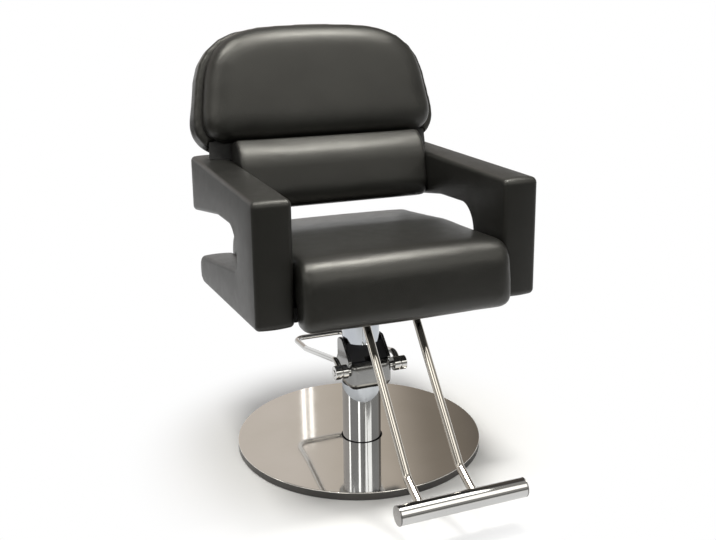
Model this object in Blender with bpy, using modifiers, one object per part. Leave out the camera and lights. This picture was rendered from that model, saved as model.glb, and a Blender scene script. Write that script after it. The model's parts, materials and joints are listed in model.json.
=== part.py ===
"""Hairdressing chair on a hydraulic pump.

Metres, +Z up. The origin is on the pump's axis at the floor, and the sitter faces -Y.
The seat side of the chair turns and rises on the pump, and the lever behind it works the plunger.
"""

import math

import bmesh
import bpy
from mathutils import Matrix, Vector

# Gaps
FIT = 0.0003  # between pieces that touch or run in each other
SOFT_GAP = 0.0008  # round the upholstery

# Round base
BASE_RADIUS = 0.295
BASE_HEIGHT = 0.0188
BASE_SETBACK = 0.020  # the disc's centre lies this far behind the pump's axis
COVER_WALL = 0.0015
COVER_LIFT = 0.0025  # the cover's skirt ends this far above the floor
COVER_EDGE = 0.0012

# Column and its fixing
SLEEVE_RADIUS = 0.0465
SLEEVE_WALL = 0.003
SLEEVE_TOP = 0.1605
FLANGE_RADIUS = 0.080
FLANGE_THICKNESS = 0.005
FLANGE_BOLT_CIRCLE = 0.064
BUSH_HEIGHT = 0.014
SEAL_HEIGHT = 0.006

# Bolts, one size for the flange, the seat plate and the footrest straps
BOLT_RADIUS = 0.004
BOLT_HEAD_RADIUS = 0.0065
BOLT_HEAD_HEIGHT = 0.004
FLANGE_BOLT_BITE = 0.0045
SEAT_BOLT_BITE = 0.016

# Swivel bearing and ram
BEARING_RADIUS = 0.030
BEARING_BORE = 0.012
RACE_THICKNESS = 0.003
CAGE_THICKNESS = 0.005
RAM_FOOT_THICKNESS = 0.005
RAM_ROD_RADIUS = 0.014
RAM_ROD_TOP = 0.185
RAM_TIP_RADIUS = 0.006
RAM_TIP_PROUD = 0.003
PISTON_THICKNESS = 0.015
PISTON_GROOVE = 0.004
PISTON_GROOVE_DEPTH = 0.0035

# Sliding pump body and pressure cylinder
BODY_RADIUS = 0.040
BODY_WALL = 0.003
BODY_BOTTOM = 0.010
BODY_SOCKET = 0.020  # how far the body reaches up into the pump head
GUIDE_RING_HEIGHT = 0.008
CYLINDER_BORE = 0.020
CYLINDER_WALL = 0.0045
CYLINDER_BOTTOM = 0.030
GLAND_HEIGHT = 0.012

# Pump head
HEAD_GAP = 0.0035  # between the column and the head when the seat is at its lowest
HEAD_TOP = 0.232
HEAD_HALF = 0.0535
HEAD_FRONT = 0.072
HEAD_CORNER = 0.020
HEAD_REAR_CORNER = 0.036
HEAD_UNDERCUT = 0.019
HEAD_SHOULDER = 0.0175  # the top edge is rounded, in front about the cross shaft
HEAD_ROOF = 0.004
LUG_THICKNESS = 0.008
LUG_TOP = 0.275
LUG_FRONT = 0.058
LUG_KNEE = 0.234  # where the sloping front edge starts
LUG_CREST = 0.012  # where it ends, in front of the pump's axis
LUG_REAR = 0.018
LUG_KNEE_ROUND = 0.010
LUG_TOP_ROUND = 0.012
LUG_ROOT = 0.020
SOCKET_FRONT = 0.054
SOCKET_CREST = 0.021
SOCKET_TOP = 0.266
SOCKET_REAR = 0.016

# Cross shaft, cam, plunger and return spring
SHAFT_FORWARD = 0.057
SHAFT_HEIGHT = 0.2145
SHAFT_RADIUS = 0.007
SHAFT_HALF = 0.0905
CAM_RADIUS = 0.017
CAM_THROW = 0.008
CAM_WIDTH = 0.020
SLOT_ROOM = 0.0012
PLUNGER_FORWARD = 0.053
PLUNGER_RADIUS = 0.006
PLUNGER_LENGTH = 0.015
PLUNGER_PROUD = 0.004
PLUNGER_FLOOR = 0.006  # metal left under the plunger's bore
SPRING_RADIUS = 0.0042
SPRING_WIRE = 0.0008
SPRING_TURNS = 4

# Pump lever
COLLAR_RADIUS = 0.0165
COLLAR_WIDTH = 0.031
COLLAR_GAP = 0.0045  # between head and collar
COLLAR_GROOVE = 0.004
COLLAR_GROOVE_DEPTH = 0.003
LEVER_RADIUS = 0.007
LEVER_SOCKET = 0.005
LEVER_CREST = (-0.008, 0.236)  # (Y, Z) of the bends along one arm of the loop
LEVER_DIP = (0.200, 0.180)
LEVER_END = (0.300, 0.172)
LEVER_BEND = 0.030

# Post and seat, in a frame raked about the pump's axis
SEAT_RAKE = math.radians(4.5)
SEAT_HEIGHT = 0.3785  # underside of the cushion on the pump's axis
SEAT_HALF = 0.228
SEAT_FRONT = 0.306
SEAT_REAR = 0.305
SEAT_FRONT_TOP = 0.150
SEAT_MIDDLE_TOP = 0.162
SEAT_REAR_TOP = 0.152
SEAT_MIDDLE = 0.020  # where the top is highest, in front of the pump's axis
SEAT_MIDDLE_ROUND = 0.600
SEAT_CROWN = 0.004
SEAT_BULGE = 0.008
SEAT_ROLL = 0.050
SEAT_CHIN = 0.030
SEAT_BACK_ROUND = 0.075
SEAT_SIDE_ROUND = 0.018
SEAT_LIP = 0.006
SEAT_HEEL = 0.003
BOARD_DROP = 0.020  # height of the seat board's underside above that of the cushion
BOARD_THICKNESS = 0.030
BOARD_FRONT = 0.236
BOARD_REAR = 0.236
POST_RADIUS = 0.0185
SEAT_PLATE_HALF_WIDTH = 0.100
SEAT_PLATE_HALF_DEPTH = 0.090
SEAT_PLATE_SETBACK = 0.018
SEAT_PLATE_THICKNESS = 0.006
SEAT_BOLT_INSET = 0.020

# Arm panels: a C that opens to the rear
ARM_TOP_RISE = 0.2965  # heights above the cushion's underside, as the next ones
ARM_TOP_REAR_RISE = 0.3015
ARM_BOTTOM_FRONT_RISE = 0.0325
ARM_BOTTOM_REAR_DROP = 0.0095
ARM_LOWER_TOP_FRONT_RISE = 0.1245
ARM_LOWER_TOP_REAR_RISE = 0.0585
ARM_OPENING_TOP_FRONT_RISE = 0.2115
ARM_OPENING_TOP_REAR_RISE = 0.1625
ARM_OPENING_CROWN_RISE = 0.2055  # where the opening's top edge bends
ARM_OPENING_CROWN_BACK = 0.070
ARM_GAP = 0.009  # between the cushion's side and the arm panel
ARM_INNER = SEAT_HALF + ARM_GAP
ARM_THICKNESS = 0.082
ARM_FRONT = 0.249
ARM_REAR = 0.337
ARM_TOP = SEAT_HEIGHT + ARM_TOP_RISE
ARM_TOP_REAR = SEAT_HEIGHT + ARM_TOP_REAR_RISE
ARM_BOTTOM_FRONT = SEAT_HEIGHT + ARM_BOTTOM_FRONT_RISE
ARM_BOTTOM_REAR = SEAT_HEIGHT - ARM_BOTTOM_REAR_DROP
ARM_LOWER_REAR = 0.284
ARM_LOWER_TOP_FRONT = SEAT_HEIGHT + ARM_LOWER_TOP_FRONT_RISE
ARM_LOWER_TOP_REAR = SEAT_HEIGHT + ARM_LOWER_TOP_REAR_RISE
ARM_OPENING_FRONT = 0.105
ARM_OPENING_TOP_FRONT = SEAT_HEIGHT + ARM_OPENING_TOP_FRONT_RISE
ARM_OPENING_CROWN = (ARM_OPENING_CROWN_BACK, SEAT_HEIGHT + ARM_OPENING_CROWN_RISE)
ARM_OPENING_CROWN_ROUND = 0.200
ARM_OPENING_TOP_REAR = SEAT_HEIGHT + ARM_OPENING_TOP_REAR_RISE
ARM_OPENING_ROUND = 0.060
ARM_OPENING_HEEL = 0.026
ARM_CORNER = 0.014
ARM_LOWER_END_ROUND = 0.034
ARM_EDGE = 0.007
STUD_RADIUS = 0.005
STUD_BITE = 0.045
ARM_STUD_SPREAD = 0.170
ARM_STUD_HEIGHT = 0.035  # in the seat's frame

# Back, in a frame that leans about the top of the arms
BACK_LEAN = math.radians(14)
BACK_SETBACK = 0.2464
BACK_BOARD_THICKNESS = 0.015
BACK_BOARD_BOTTOM = -0.100
BACK_BOARD_TOP = 0.270
BACK_BOARD_INSET = 0.0287  # inside the pad's upper corners
NECK_REACH = 0.049  # how far the neck reaches out over the arm panels
NECK_HALF = ARM_INNER + NECK_REACH
NECK_LOW = 0.010
NECK_HIGH = 0.052
NECK_TAPER = 0.004  # the neck is this much lower at each outer corner
BACK_STUD_RADIUS = 0.004
BACK_STUD_DROP = 0.055
PAD_BOTTOM = 0.042
PAD_TOP = 0.3245
PAD_INSET = 0.0103  # the pad's lower corners lie inside the arms' outer faces
PAD_TAPER = 0.040
PAD_HALF_LOW = ARM_INNER + ARM_THICKNESS - PAD_INSET
PAD_HALF_HIGH = PAD_HALF_LOW - PAD_TAPER
BACK_BOARD_HALF = PAD_HALF_HIGH - BACK_BOARD_INSET
PAD_CORNER_LOW = 0.055
PAD_CORNER_HIGH = 0.142
PAD_THICKNESS = 0.045
PAD_RIM = 0.030
PAD_CROWN = 0.003
PAD_CROWN_INSET = 0.018
SHELL_PROUD_LOW = 0.024
SHELL_PROUD_HIGH = 0.014
SHELL_DROP = 0.022
SHELL_CORNER_LOW = 0.075
SHELL_THICKNESS = 0.072
SHELL_RIM = 0.024
SHELL_SEAM = 0.007

# Lumbar roll, in the back's frame
ROLL_DEPTH = 0.108
ROLL_BOTTOM = -0.125
ROLL_TOP_ROUND = 0.088
ROLL_FRONT_ROUND = 0.040
ROLL_REAR_ROUND = 0.014
ROLL_END_ROUND = 0.012
ROLL_CROWN = 0.007
ROLL_STUD_SPREAD = 0.140
ROLL_STUD_HEIGHT = -0.040
ROLL_STUD_BITE = 0.030

# Footrest
FOOT_ROD_HALF = 0.059
FOOT_ROD_RADIUS = 0.009
FOOT_ROD_REAR = 0.085  # in the seat's frame, as the next one
FOOT_ROD_BEND_AT = 0.1585
FOOT_KNEE = (-0.397, 0.1186)  # (Y, Z)
FOOT_BAR = (-0.4684, 0.0854)
FOOT_BEND = 0.030
FOOT_BAR_RADIUS = 0.020
FOOT_BAR_WALL = 0.002
FOOT_BAR_HALF = 0.141
FOOT_BAR_OFFSET = 0.028  # the bar reaches further to the sitter's left than to the right
PLUG_LIP = 0.0025
PLUG_DEPTH = 0.010
STRAP_HALF = 0.078
STRAP_WIDTH = 0.022
STRAP_THICKNESS = 0.004
STRAP_FRONT = 0.132
STRAP_REAR = 0.098

# Facets
FINE = 96
ROUND = 48
SMALL = 24
TINY = 12
ARC_STEP = math.radians(18)
CUT_MARGIN = 0.010  # how far cutters run past what they cut

for old in list(bpy.data.objects):
    bpy.data.objects.remove(old)

parts = bpy.data.collections.new("hairdressing_chair")
cutters = bpy.data.collections.new("cutters")
for collection in (parts, cutters):
    bpy.context.scene.collection.children.link(collection)


def material(name, colour, roughness, metallic):
    finish = bpy.data.materials.new(name)
    finish.use_nodes = True
    shader = finish.node_tree.nodes["Principled BSDF"]
    shader.inputs["Base Color"].default_value = (*colour, 1.0)
    shader.inputs["Roughness"].default_value = roughness
    shader.inputs["Metallic"].default_value = metallic
    return finish


CHROME = material("chrome", (0.80, 0.80, 0.79), 0.08, 1.0)
STAINLESS = material("polished_stainless", (0.66, 0.63, 0.59), 0.16, 1.0)
STEEL = material("dark_steel", (0.16, 0.16, 0.17), 0.45, 1.0)
BRONZE = material("bearing_bronze", (0.45, 0.30, 0.14), 0.40, 1.0)
NYLON = material("nylon", (0.80, 0.79, 0.75), 0.50, 0.0)
RUBBER = material("rubber", (0.025, 0.025, 0.025), 0.75, 0.0)
BLACK_BOARD = material("black_covered_board", (0.018, 0.018, 0.018), 0.60, 0.0)
LEATHER = material("black_leatherette", (0.022, 0.022, 0.021), 0.42, 0.0)


def empty(name, parent=None, location=(0, 0, 0), rotation=(0, 0, 0)):
    axis = bpy.data.objects.new(name, None)
    parts.objects.link(axis)
    axis.parent = parent
    axis.location = location
    axis.rotation_euler = rotation
    return axis


def add(name, data, finish, parent=None, location=(0, 0, 0), rotation=(0, 0, 0)):
    """Links a piece. A piece with no finish is a cutter, or is joined to another."""
    piece = bpy.data.objects.new(name, data)
    piece.parent = parent
    piece.location = location
    piece.rotation_euler = rotation
    if finish is None:
        cutters.objects.link(piece)
        piece.hide_render = True
        piece.display_type = "WIRE"
    else:
        parts.objects.link(piece)
        data.materials.append(finish)
    return piece


def smooth(mesh):
    mesh.shade_smooth()
    mesh.set_sharp_from_angle(angle=math.radians(38))


def turned(name, profile, finish, segments, closed, **place):
    """A profile of (radius, height) points, running down its outer side, turned about Z."""
    count = len(profile)
    edges = [(index, index + 1) for index in range(count - 1)]
    if closed:
        edges.append((count - 1, 0))
    mesh = bpy.data.meshes.new(name)
    mesh.from_pydata([(radius, 0, height) for radius, height in profile], edges, [])
    piece = add(name, mesh, finish, **place)
    screw = piece.modifiers.new("turn", "SCREW")
    screw.steps = segments
    screw.render_steps = segments
    screw.use_merge_vertices = True
    screw.merge_threshold = 0.00001
    return piece


def ring(name, inner, outer, low, high, finish, segments=SMALL, **place):
    profile = [(outer, high), (outer, low), (inner, low), (inner, high)]
    return turned(name, profile, finish, segments, True, **place)


def rod(name, radius, low, high, finish, segments=SMALL, **place):
    profile = [(0, high), (radius, high), (radius, low), (0, low)]
    return turned(name, profile, finish, segments, False, **place)


def bolt(name, bite, **place):
    """A cap bolt whose head stands on Z = 0."""
    profile = [
        (0, BOLT_HEAD_HEIGHT),
        (BOLT_HEAD_RADIUS, BOLT_HEAD_HEIGHT),
        (BOLT_HEAD_RADIUS, 0),
        (BOLT_RADIUS, 0),
        (BOLT_RADIUS, -bite),
        (0, -bite),
    ]
    return turned(name, profile, STEEL, TINY, False, **place)


def boolean(piece, other, operation="DIFFERENCE"):
    modifier = piece.modifiers.new(operation.lower() + "_" + other.name, "BOOLEAN")
    modifier.operation = operation
    modifier.object = other
    return piece


def rounded_corner(before, corner, after, radius):
    """Points of the arc that rounds a corner, in two or three dimensions."""
    to_before = (before - corner).normalized()
    to_after = (after - corner).normalized()
    half = to_before.angle(to_after) / 2
    if radius == 0 or half > math.radians(89.9):
        return [corner]
    centre = corner + (to_before + to_after).normalized() * radius / math.sin(half)
    start = corner + to_before * radius / math.tan(half) - centre
    finish = corner + to_after * radius / math.tan(half) - centre
    sweep = math.pi - 2 * half
    steps = max(2, math.ceil(sweep / ARC_STEP))
    arc = []
    for step in range(steps + 1):
        angle = sweep * step / steps
        arc.append(centre + (start * math.sin(sweep - angle) + finish * math.sin(angle)) / math.sin(sweep))
    return arc


def outline(corners):
    """A closed outline from (across, up, radius) corners."""
    places = [Vector(corner[:2]) for corner in corners]
    points = []
    for index, corner in enumerate(corners):
        after = places[(index + 1) % len(places)]
        points.extend(rounded_corner(places[index - 1], places[index], after, corner[2]))
    return points


def bent_path(places, radius):
    """An open path through the places, with its inner corners rounded."""
    points = [places[0]]
    for index in range(1, len(places) - 1):
        points.extend(rounded_corner(places[index - 1], places[index], places[index + 1], radius))
    return points + [places[-1]]


# Where an outline's across, up and depth directions point
FROM_SIDE = Matrix(((0, 0, 1), (1, 0, 0), (0, 1, 0))).to_4x4()  # across +Y, up +Z, depth +X
FROM_FRONT = Matrix(((1, 0, 0), (0, 0, -1), (0, 1, 0))).to_4x4()  # across +X, up +Z, depth -Y
FROM_ABOVE = Matrix.Identity(4)


def slab(name, points, low, high, view):
    """A bmesh of a filled outline between two depths, with one face on each side of it."""
    curve = bpy.data.curves.new(name, "CURVE")
    curve.dimensions = "2D"
    curve.fill_mode = "BOTH"
    curve.extrude = (high - low) / 2
    spline = curve.splines.new("POLY")
    spline.points.add(len(points) - 1)
    for place, point in zip(spline.points, points):
        place.co = (*point, 0, 1)
    spline.use_cyclic_u = True
    guide = bpy.data.objects.new(name, curve)
    cutters.objects.link(guide)
    graph = bpy.context.evaluated_depsgraph_get()
    mesh = bpy.data.meshes.new_from_object(guide.evaluated_get(graph))
    bpy.data.objects.remove(guide)
    shape = bmesh.new()
    shape.from_mesh(mesh)
    bpy.data.meshes.remove(mesh)
    bmesh.ops.remove_doubles(shape, verts=shape.verts, dist=0.000001)
    bmesh.ops.dissolve_limit(shape, angle_limit=math.radians(0.5), verts=shape.verts, edges=shape.edges)
    bmesh.ops.translate(shape, verts=shape.verts, vec=(0, 0, (high + low) / 2))
    bmesh.ops.transform(shape, verts=shape.verts, matrix=view)
    bmesh.ops.recalc_face_normals(shape, faces=shape.faces)
    return shape


def side_edges(shape, axis, place):
    """The edges that bound the flat side at this place along an axis."""
    near = [edge for edge in shape.edges if all(abs(v.co[axis] - place) < 0.00001 for v in edge.verts)]
    return [edge for edge in near if edge.calc_face_angle(0) > math.radians(45)]


def round_side(shape, axis, place, radius, segments):
    edges = side_edges(shape, axis, place)
    bmesh.ops.bevel(
        shape, geom=edges, offset=radius, segments=segments, profile=0.5, affect="EDGES", clamp_overlap=True
    )


def finished(name, shape, finish, **place):
    mesh = bpy.data.meshes.new(name)
    shape.to_mesh(mesh)
    shape.free()
    smooth(mesh)
    return add(name, mesh, finish, **place)


def block(name, low, high, finish, **place):
    shape = bmesh.new()
    bmesh.ops.create_cube(shape, size=1)
    low = Vector(low)
    high = Vector(high)
    bmesh.ops.scale(shape, verts=shape.verts, vec=high - low)
    bmesh.ops.translate(shape, verts=shape.verts, vec=(low + high) / 2)
    return finished(name, shape, finish, **place)


def tube(name, places, radius, finish, **place):
    """A bent round bar along a path."""
    curve = bpy.data.curves.new(name, "CURVE")
    curve.dimensions = "3D"
    curve.bevel_depth = radius
    curve.bevel_resolution = 3
    curve.use_fill_caps = True
    spline = curve.splines.new("POLY")
    spline.points.add(len(places) - 1)
    for point, at in zip(spline.points, places):
        point.co = (*at, 1)
    return add(name, curve, finish, **place)


# Frames of the moving and tilted groups
swivel_axis = empty("swivel_axis")
lift_axis = empty("lift_axis", swivel_axis)
lever_axis = empty("lever_axis", lift_axis, (0, -SHAFT_FORWARD, SHAFT_HEIGHT))
plunger_top = SHAFT_HEIGHT - CAM_RADIUS - FIT
plunger_axis = empty("plunger_axis", lift_axis, (0, -PLUNGER_FORWARD, plunger_top))
seat_frame = empty("seat_frame", lift_axis, (0, 0, SEAT_HEIGHT), (-SEAT_RAKE, 0, 0))
back_frame = empty("back_frame", lift_axis, (0, BACK_SETBACK, ARM_TOP), (-BACK_LEAN, 0, 0))

# Base: a steel disc with a pocket for the column's flange, under a stainless cover
plate_top = BASE_HEIGHT - COVER_WALL - FIT
pocket_floor = plate_top - FLANGE_THICKNESS - BOLT_HEAD_HEIGHT - 3 * FIT
flange_top = pocket_floor + FIT + FLANGE_THICKNESS
base_centre = (0, BASE_SETBACK, 0)

base_plate = rod(
    "base_plate", BASE_RADIUS - COVER_WALL - FIT, 0, plate_top, STEEL, FINE, location=base_centre
)
pocket = rod("flange_pocket", FLANGE_RADIUS + FIT, pocket_floor, BASE_HEIGHT + CUT_MARGIN, None, ROUND)
boolean(base_plate, pocket)

base_cover = turned(
    "base_cover",
    [
        (0, BASE_HEIGHT),
        (BASE_RADIUS - COVER_EDGE, BASE_HEIGHT),
        (BASE_RADIUS, BASE_HEIGHT - COVER_EDGE),
        (BASE_RADIUS, COVER_LIFT),
        (BASE_RADIUS - COVER_WALL, COVER_LIFT),
        (BASE_RADIUS - COVER_WALL, BASE_HEIGHT - COVER_WALL),
        (0, BASE_HEIGHT - COVER_WALL),
    ],
    STAINLESS,
    FINE,
    False,
    location=base_centre,
)
boolean(base_cover, rod("cover_hole", SLEEVE_RADIUS + FIT, 0, BASE_HEIGHT + CUT_MARGIN, None, ROUND))

column_flange = ring(
    "column_flange", SLEEVE_RADIUS + FIT, FLANGE_RADIUS, pocket_floor + FIT, flange_top, STEEL, ROUND
)
for number in range(4):
    angle = math.radians(45 + 90 * number)
    place = (FLANGE_BOLT_CIRCLE * math.cos(angle), FLANGE_BOLT_CIRCLE * math.sin(angle), 0)
    depth = FLANGE_THICKNESS + FIT + FLANGE_BOLT_BITE
    bolt(f"flange_bolt_{number + 1}", depth, location=(*place[:2], flange_top + FIT))
    hole = rod(
        f"flange_bolt_hole_{number + 1}",
        BOLT_RADIUS + FIT,
        flange_top - depth - FIT,
        BASE_HEIGHT,
        None,
        TINY,
        location=place,
    )
    boolean(base_plate, hole)
    boolean(column_flange, hole)

# Column: a fixed chrome sleeve with a guide bush and a wiper seal in its mouth
sleeve_bore = SLEEVE_RADIUS - SLEEVE_WALL
ring("column_sleeve", sleeve_bore, SLEEVE_RADIUS, pocket_floor + FIT, SLEEVE_TOP, CHROME, ROUND)
seal_low = SLEEVE_TOP - SEAL_HEIGHT
bush_high = seal_low - FIT
ring("wiper_seal", BODY_RADIUS + FIT, sleeve_bore - FIT, seal_low, SLEEVE_TOP, RUBBER, ROUND)
ring("guide_bush", BODY_RADIUS + FIT, sleeve_bore - FIT, bush_high - BUSH_HEIGHT, bush_high, NYLON, ROUND)

# Swivel: a thrust bearing under the ram's foot
lower_race_low = pocket_floor + FIT
cage_low = lower_race_low + RACE_THICKNESS + FIT
upper_race_low = cage_low + CAGE_THICKNESS + FIT
foot_low = upper_race_low + RACE_THICKNESS + FIT
ring(
    "bearing_lower_race", BEARING_BORE, BEARING_RADIUS, lower_race_low, lower_race_low + RACE_THICKNESS, STEEL
)
ring("bearing_cage", BEARING_BORE, BEARING_RADIUS, cage_low, cage_low + CAGE_THICKNESS, BRONZE)
ring(
    "bearing_upper_race",
    BEARING_BORE,
    BEARING_RADIUS,
    upper_race_low,
    upper_race_low + RACE_THICKNESS,
    STEEL,
    parent=swivel_axis,
)

# Ram: a fixed-height rod with the piston on its tip
piston_low = RAM_ROD_TOP + FIT
piston_high = piston_low + PISTON_THICKNESS
foot_high = foot_low + RAM_FOOT_THICKNESS
turned(
    "ram_rod",
    [
        (0, piston_high + RAM_TIP_PROUD),
        (RAM_TIP_RADIUS, piston_high + RAM_TIP_PROUD),
        (RAM_TIP_RADIUS, RAM_ROD_TOP),
        (RAM_ROD_RADIUS, RAM_ROD_TOP),
        (RAM_ROD_RADIUS, foot_high),
        (BEARING_RADIUS, foot_high),
        (BEARING_RADIUS, foot_low),
        (BEARING_BORE - FIT, foot_low),
        (BEARING_BORE - FIT, lower_race_low),
        (0, lower_race_low),
    ],
    CHROME,
    SMALL,
    False,
    parent=swivel_axis,
)
piston_radius = CYLINDER_BORE - FIT
groove_low = (piston_low + piston_high - PISTON_GROOVE) / 2
groove_high = groove_low + PISTON_GROOVE
turned(
    "piston",
    [
        (piston_radius, piston_high),
        (piston_radius, groove_high),
        (piston_radius - PISTON_GROOVE_DEPTH, groove_high),
        (piston_radius - PISTON_GROOVE_DEPTH, groove_low),
        (piston_radius, groove_low),
        (piston_radius, piston_low),
        (RAM_TIP_RADIUS + FIT, piston_low),
        (RAM_TIP_RADIUS + FIT, piston_high),
    ],
    STEEL,
    SMALL,
    True,
    parent=swivel_axis,
)
ring(
    "piston_seal",
    piston_radius - PISTON_GROOVE_DEPTH + FIT,
    piston_radius,
    groove_low + FIT,
    groove_high - FIT,
    RUBBER,
    parent=swivel_axis,
)

# Pump body: slides on the ram inside the column
head_bottom = SLEEVE_TOP + HEAD_GAP
body_top = head_bottom + BODY_SOCKET
cylinder_radius = CYLINDER_BORE + CYLINDER_WALL
cylinder_top = HEAD_TOP - HEAD_ROOF - FIT
ring(
    "pump_body", BODY_RADIUS - BODY_WALL, BODY_RADIUS, BODY_BOTTOM, body_top, CHROME, ROUND, parent=lift_axis
)
ring(
    "guide_ring",
    BODY_RADIUS + FIT,
    sleeve_bore - FIT,
    BODY_BOTTOM,
    BODY_BOTTOM + GUIDE_RING_HEIGHT,
    NYLON,
    ROUND,
    parent=lift_axis,
)
ring(
    "pump_cylinder", CYLINDER_BORE, cylinder_radius, CYLINDER_BOTTOM, cylinder_top, STEEL, parent=lift_axis
)
ring(
    "cylinder_gland",
    RAM_ROD_RADIUS + FIT,
    CYLINDER_BORE - FIT,
    CYLINDER_BOTTOM,
    CYLINDER_BOTTOM + GLAND_HEIGHT,
    BRONZE,
    parent=lift_axis,
)

# Pump head: a chrome casting with a lug on each side, bored for cylinder, shaft and plunger
head_corners = [
    (-HEAD_HALF, -HEAD_FRONT, HEAD_CORNER),
    (HEAD_HALF, -HEAD_FRONT, HEAD_CORNER),
    (HEAD_HALF, HEAD_HALF, HEAD_REAR_CORNER),
    (-HEAD_HALF, HEAD_HALF, HEAD_REAR_CORNER),
]
head_shape = slab("pump_head", outline(head_corners), head_bottom, HEAD_TOP, FROM_ABOVE)
round_side(head_shape, 2, head_bottom, HEAD_UNDERCUT, 4)
round_side(head_shape, 2, HEAD_TOP, HEAD_SHOULDER, 4)
pump_head = finished("pump_head", head_shape, CHROME, parent=lift_axis)
lug_corners = [
    (-LUG_FRONT, HEAD_TOP - LUG_ROOT, 0),
    (LUG_REAR, HEAD_TOP - LUG_ROOT, 0),
    (LUG_REAR, LUG_TOP, LUG_TOP_ROUND),
    (-LUG_CREST, LUG_TOP, LUG_TOP_ROUND),
    (-LUG_FRONT, LUG_KNEE, LUG_KNEE_ROUND),
]
lug_outer = HEAD_HALF - FIT
for side, low in (("left", -lug_outer), ("right", lug_outer - LUG_THICKNESS)):
    shape = slab("lug", outline(lug_corners), low, low + LUG_THICKNESS, FROM_SIDE)
    boolean(pump_head, finished(f"lug_{side}", shape, None, parent=lift_axis), "UNION")

cam_reach = CAM_RADIUS + CAM_THROW + SLOT_ROOM
slot_bottom = plunger_top - PLUNGER_PROUD
plunger_bore_floor = head_bottom + PLUNGER_FLOOR
lies_along_x = (0, math.pi / 2, 0)
head_cutters = [
    rod("body_socket", BODY_RADIUS + FIT, head_bottom - CUT_MARGIN, body_top + FIT, None, ROUND),
    rod("cylinder_socket", cylinder_radius + FIT, head_bottom, cylinder_top + FIT, None),
    rod(
        "shaft_bore",
        SHAFT_RADIUS + FIT,
        -HEAD_HALF - CUT_MARGIN,
        HEAD_HALF + CUT_MARGIN,
        None,
        location=(0, -SHAFT_FORWARD, SHAFT_HEIGHT),
        rotation=lies_along_x,
    ),
    block(
        "cam_slot",
        (-CAM_WIDTH / 2 - FIT, -SHAFT_FORWARD - CAM_RADIUS + CAM_THROW - SLOT_ROOM, slot_bottom),
        (CAM_WIDTH / 2 + FIT, -SHAFT_FORWARD + cam_reach, HEAD_TOP + CUT_MARGIN),
        None,
    ),
    rod(
        "plunger_bore",
        PLUNGER_RADIUS + FIT,
        plunger_bore_floor,
        plunger_top,
        None,
        location=(0, -PLUNGER_FORWARD, 0),
    ),
]
for cutter in head_cutters:
    cutter.parent = lift_axis
    boolean(pump_head, cutter)

# Post socket: a dark wedge bolted down between the lugs, with room for the cam under its toe
socket_half = lug_outer - LUG_THICKNESS - FIT
socket_corners = [
    (-SOCKET_FRONT, HEAD_TOP + FIT, 0),
    (SOCKET_REAR, HEAD_TOP + FIT, 0),
    (SOCKET_REAR, SOCKET_TOP, 0),
    (-SOCKET_CREST, SOCKET_TOP, 0),
]
socket_shape = slab("post_socket", outline(socket_corners), -socket_half, socket_half, FROM_SIDE)
post_socket = finished("post_socket", socket_shape, STEEL, parent=lift_axis)
cam_room = block(
    "cam_room",
    (-CAM_WIDTH / 2 - FIT, -SOCKET_FRONT - CUT_MARGIN, HEAD_TOP - CUT_MARGIN),
    (CAM_WIDTH / 2 + FIT, -SHAFT_FORWARD + cam_reach, SHAFT_HEIGHT + cam_reach),
    None,
    parent=lift_axis,
)
boolean(post_socket, cam_room)

# Cross shaft with the cam, and a grooved clamp collar on each end
rod(
    "lever_shaft", SHAFT_RADIUS, -SHAFT_HALF, SHAFT_HALF, CHROME, parent=lever_axis, rotation=lies_along_x
)
cam = rod(
    "pump_cam",
    CAM_RADIUS,
    -CAM_WIDTH / 2,
    CAM_WIDTH / 2,
    STEEL,
    parent=lever_axis,
    location=(0, CAM_THROW, 0),
    rotation=lies_along_x,
)
cam_bore = rod(
    "cam_bore", SHAFT_RADIUS + FIT, -CAM_WIDTH, CAM_WIDTH, None, parent=lever_axis, rotation=lies_along_x
)
boolean(cam, cam_bore)

collar_inner = HEAD_HALF + COLLAR_GAP
collar_middle = collar_inner + COLLAR_WIDTH / 2
crest = Vector((LEVER_CREST[0] + SHAFT_FORWARD, LEVER_CREST[1] - SHAFT_HEIGHT))
socket_angle = math.atan2(crest.y, crest.x)
socket_low = COLLAR_RADIUS - LEVER_SOCKET
for side, sign in (("left", -1), ("right", 1)):
    collar = turned(
        f"lever_collar_{side}",
        [
            (COLLAR_RADIUS, COLLAR_WIDTH / 2),
            (COLLAR_RADIUS, COLLAR_GROOVE / 2),
            (COLLAR_RADIUS - COLLAR_GROOVE_DEPTH, COLLAR_GROOVE / 2),
            (COLLAR_RADIUS - COLLAR_GROOVE_DEPTH, -COLLAR_GROOVE / 2),
            (COLLAR_RADIUS, -COLLAR_GROOVE / 2),
            (COLLAR_RADIUS, -COLLAR_WIDTH / 2),
            (SHAFT_RADIUS + FIT, -COLLAR_WIDTH / 2),
            (SHAFT_RADIUS + FIT, COLLAR_WIDTH / 2),
        ],
        CHROME,
        SMALL,
        True,
        parent=lever_axis,
        location=(sign * collar_middle, 0, 0),
        rotation=lies_along_x,
    )
    socket = rod(
        f"lever_socket_{side}",
        LEVER_RADIUS + FIT,
        socket_low,
        COLLAR_RADIUS + CUT_MARGIN,
        None,
        parent=lever_axis,
        location=(sign * collar_middle, 0, 0),
        rotation=(socket_angle - math.pi / 2, 0, 0),
    )
    boolean(collar, socket)

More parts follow.
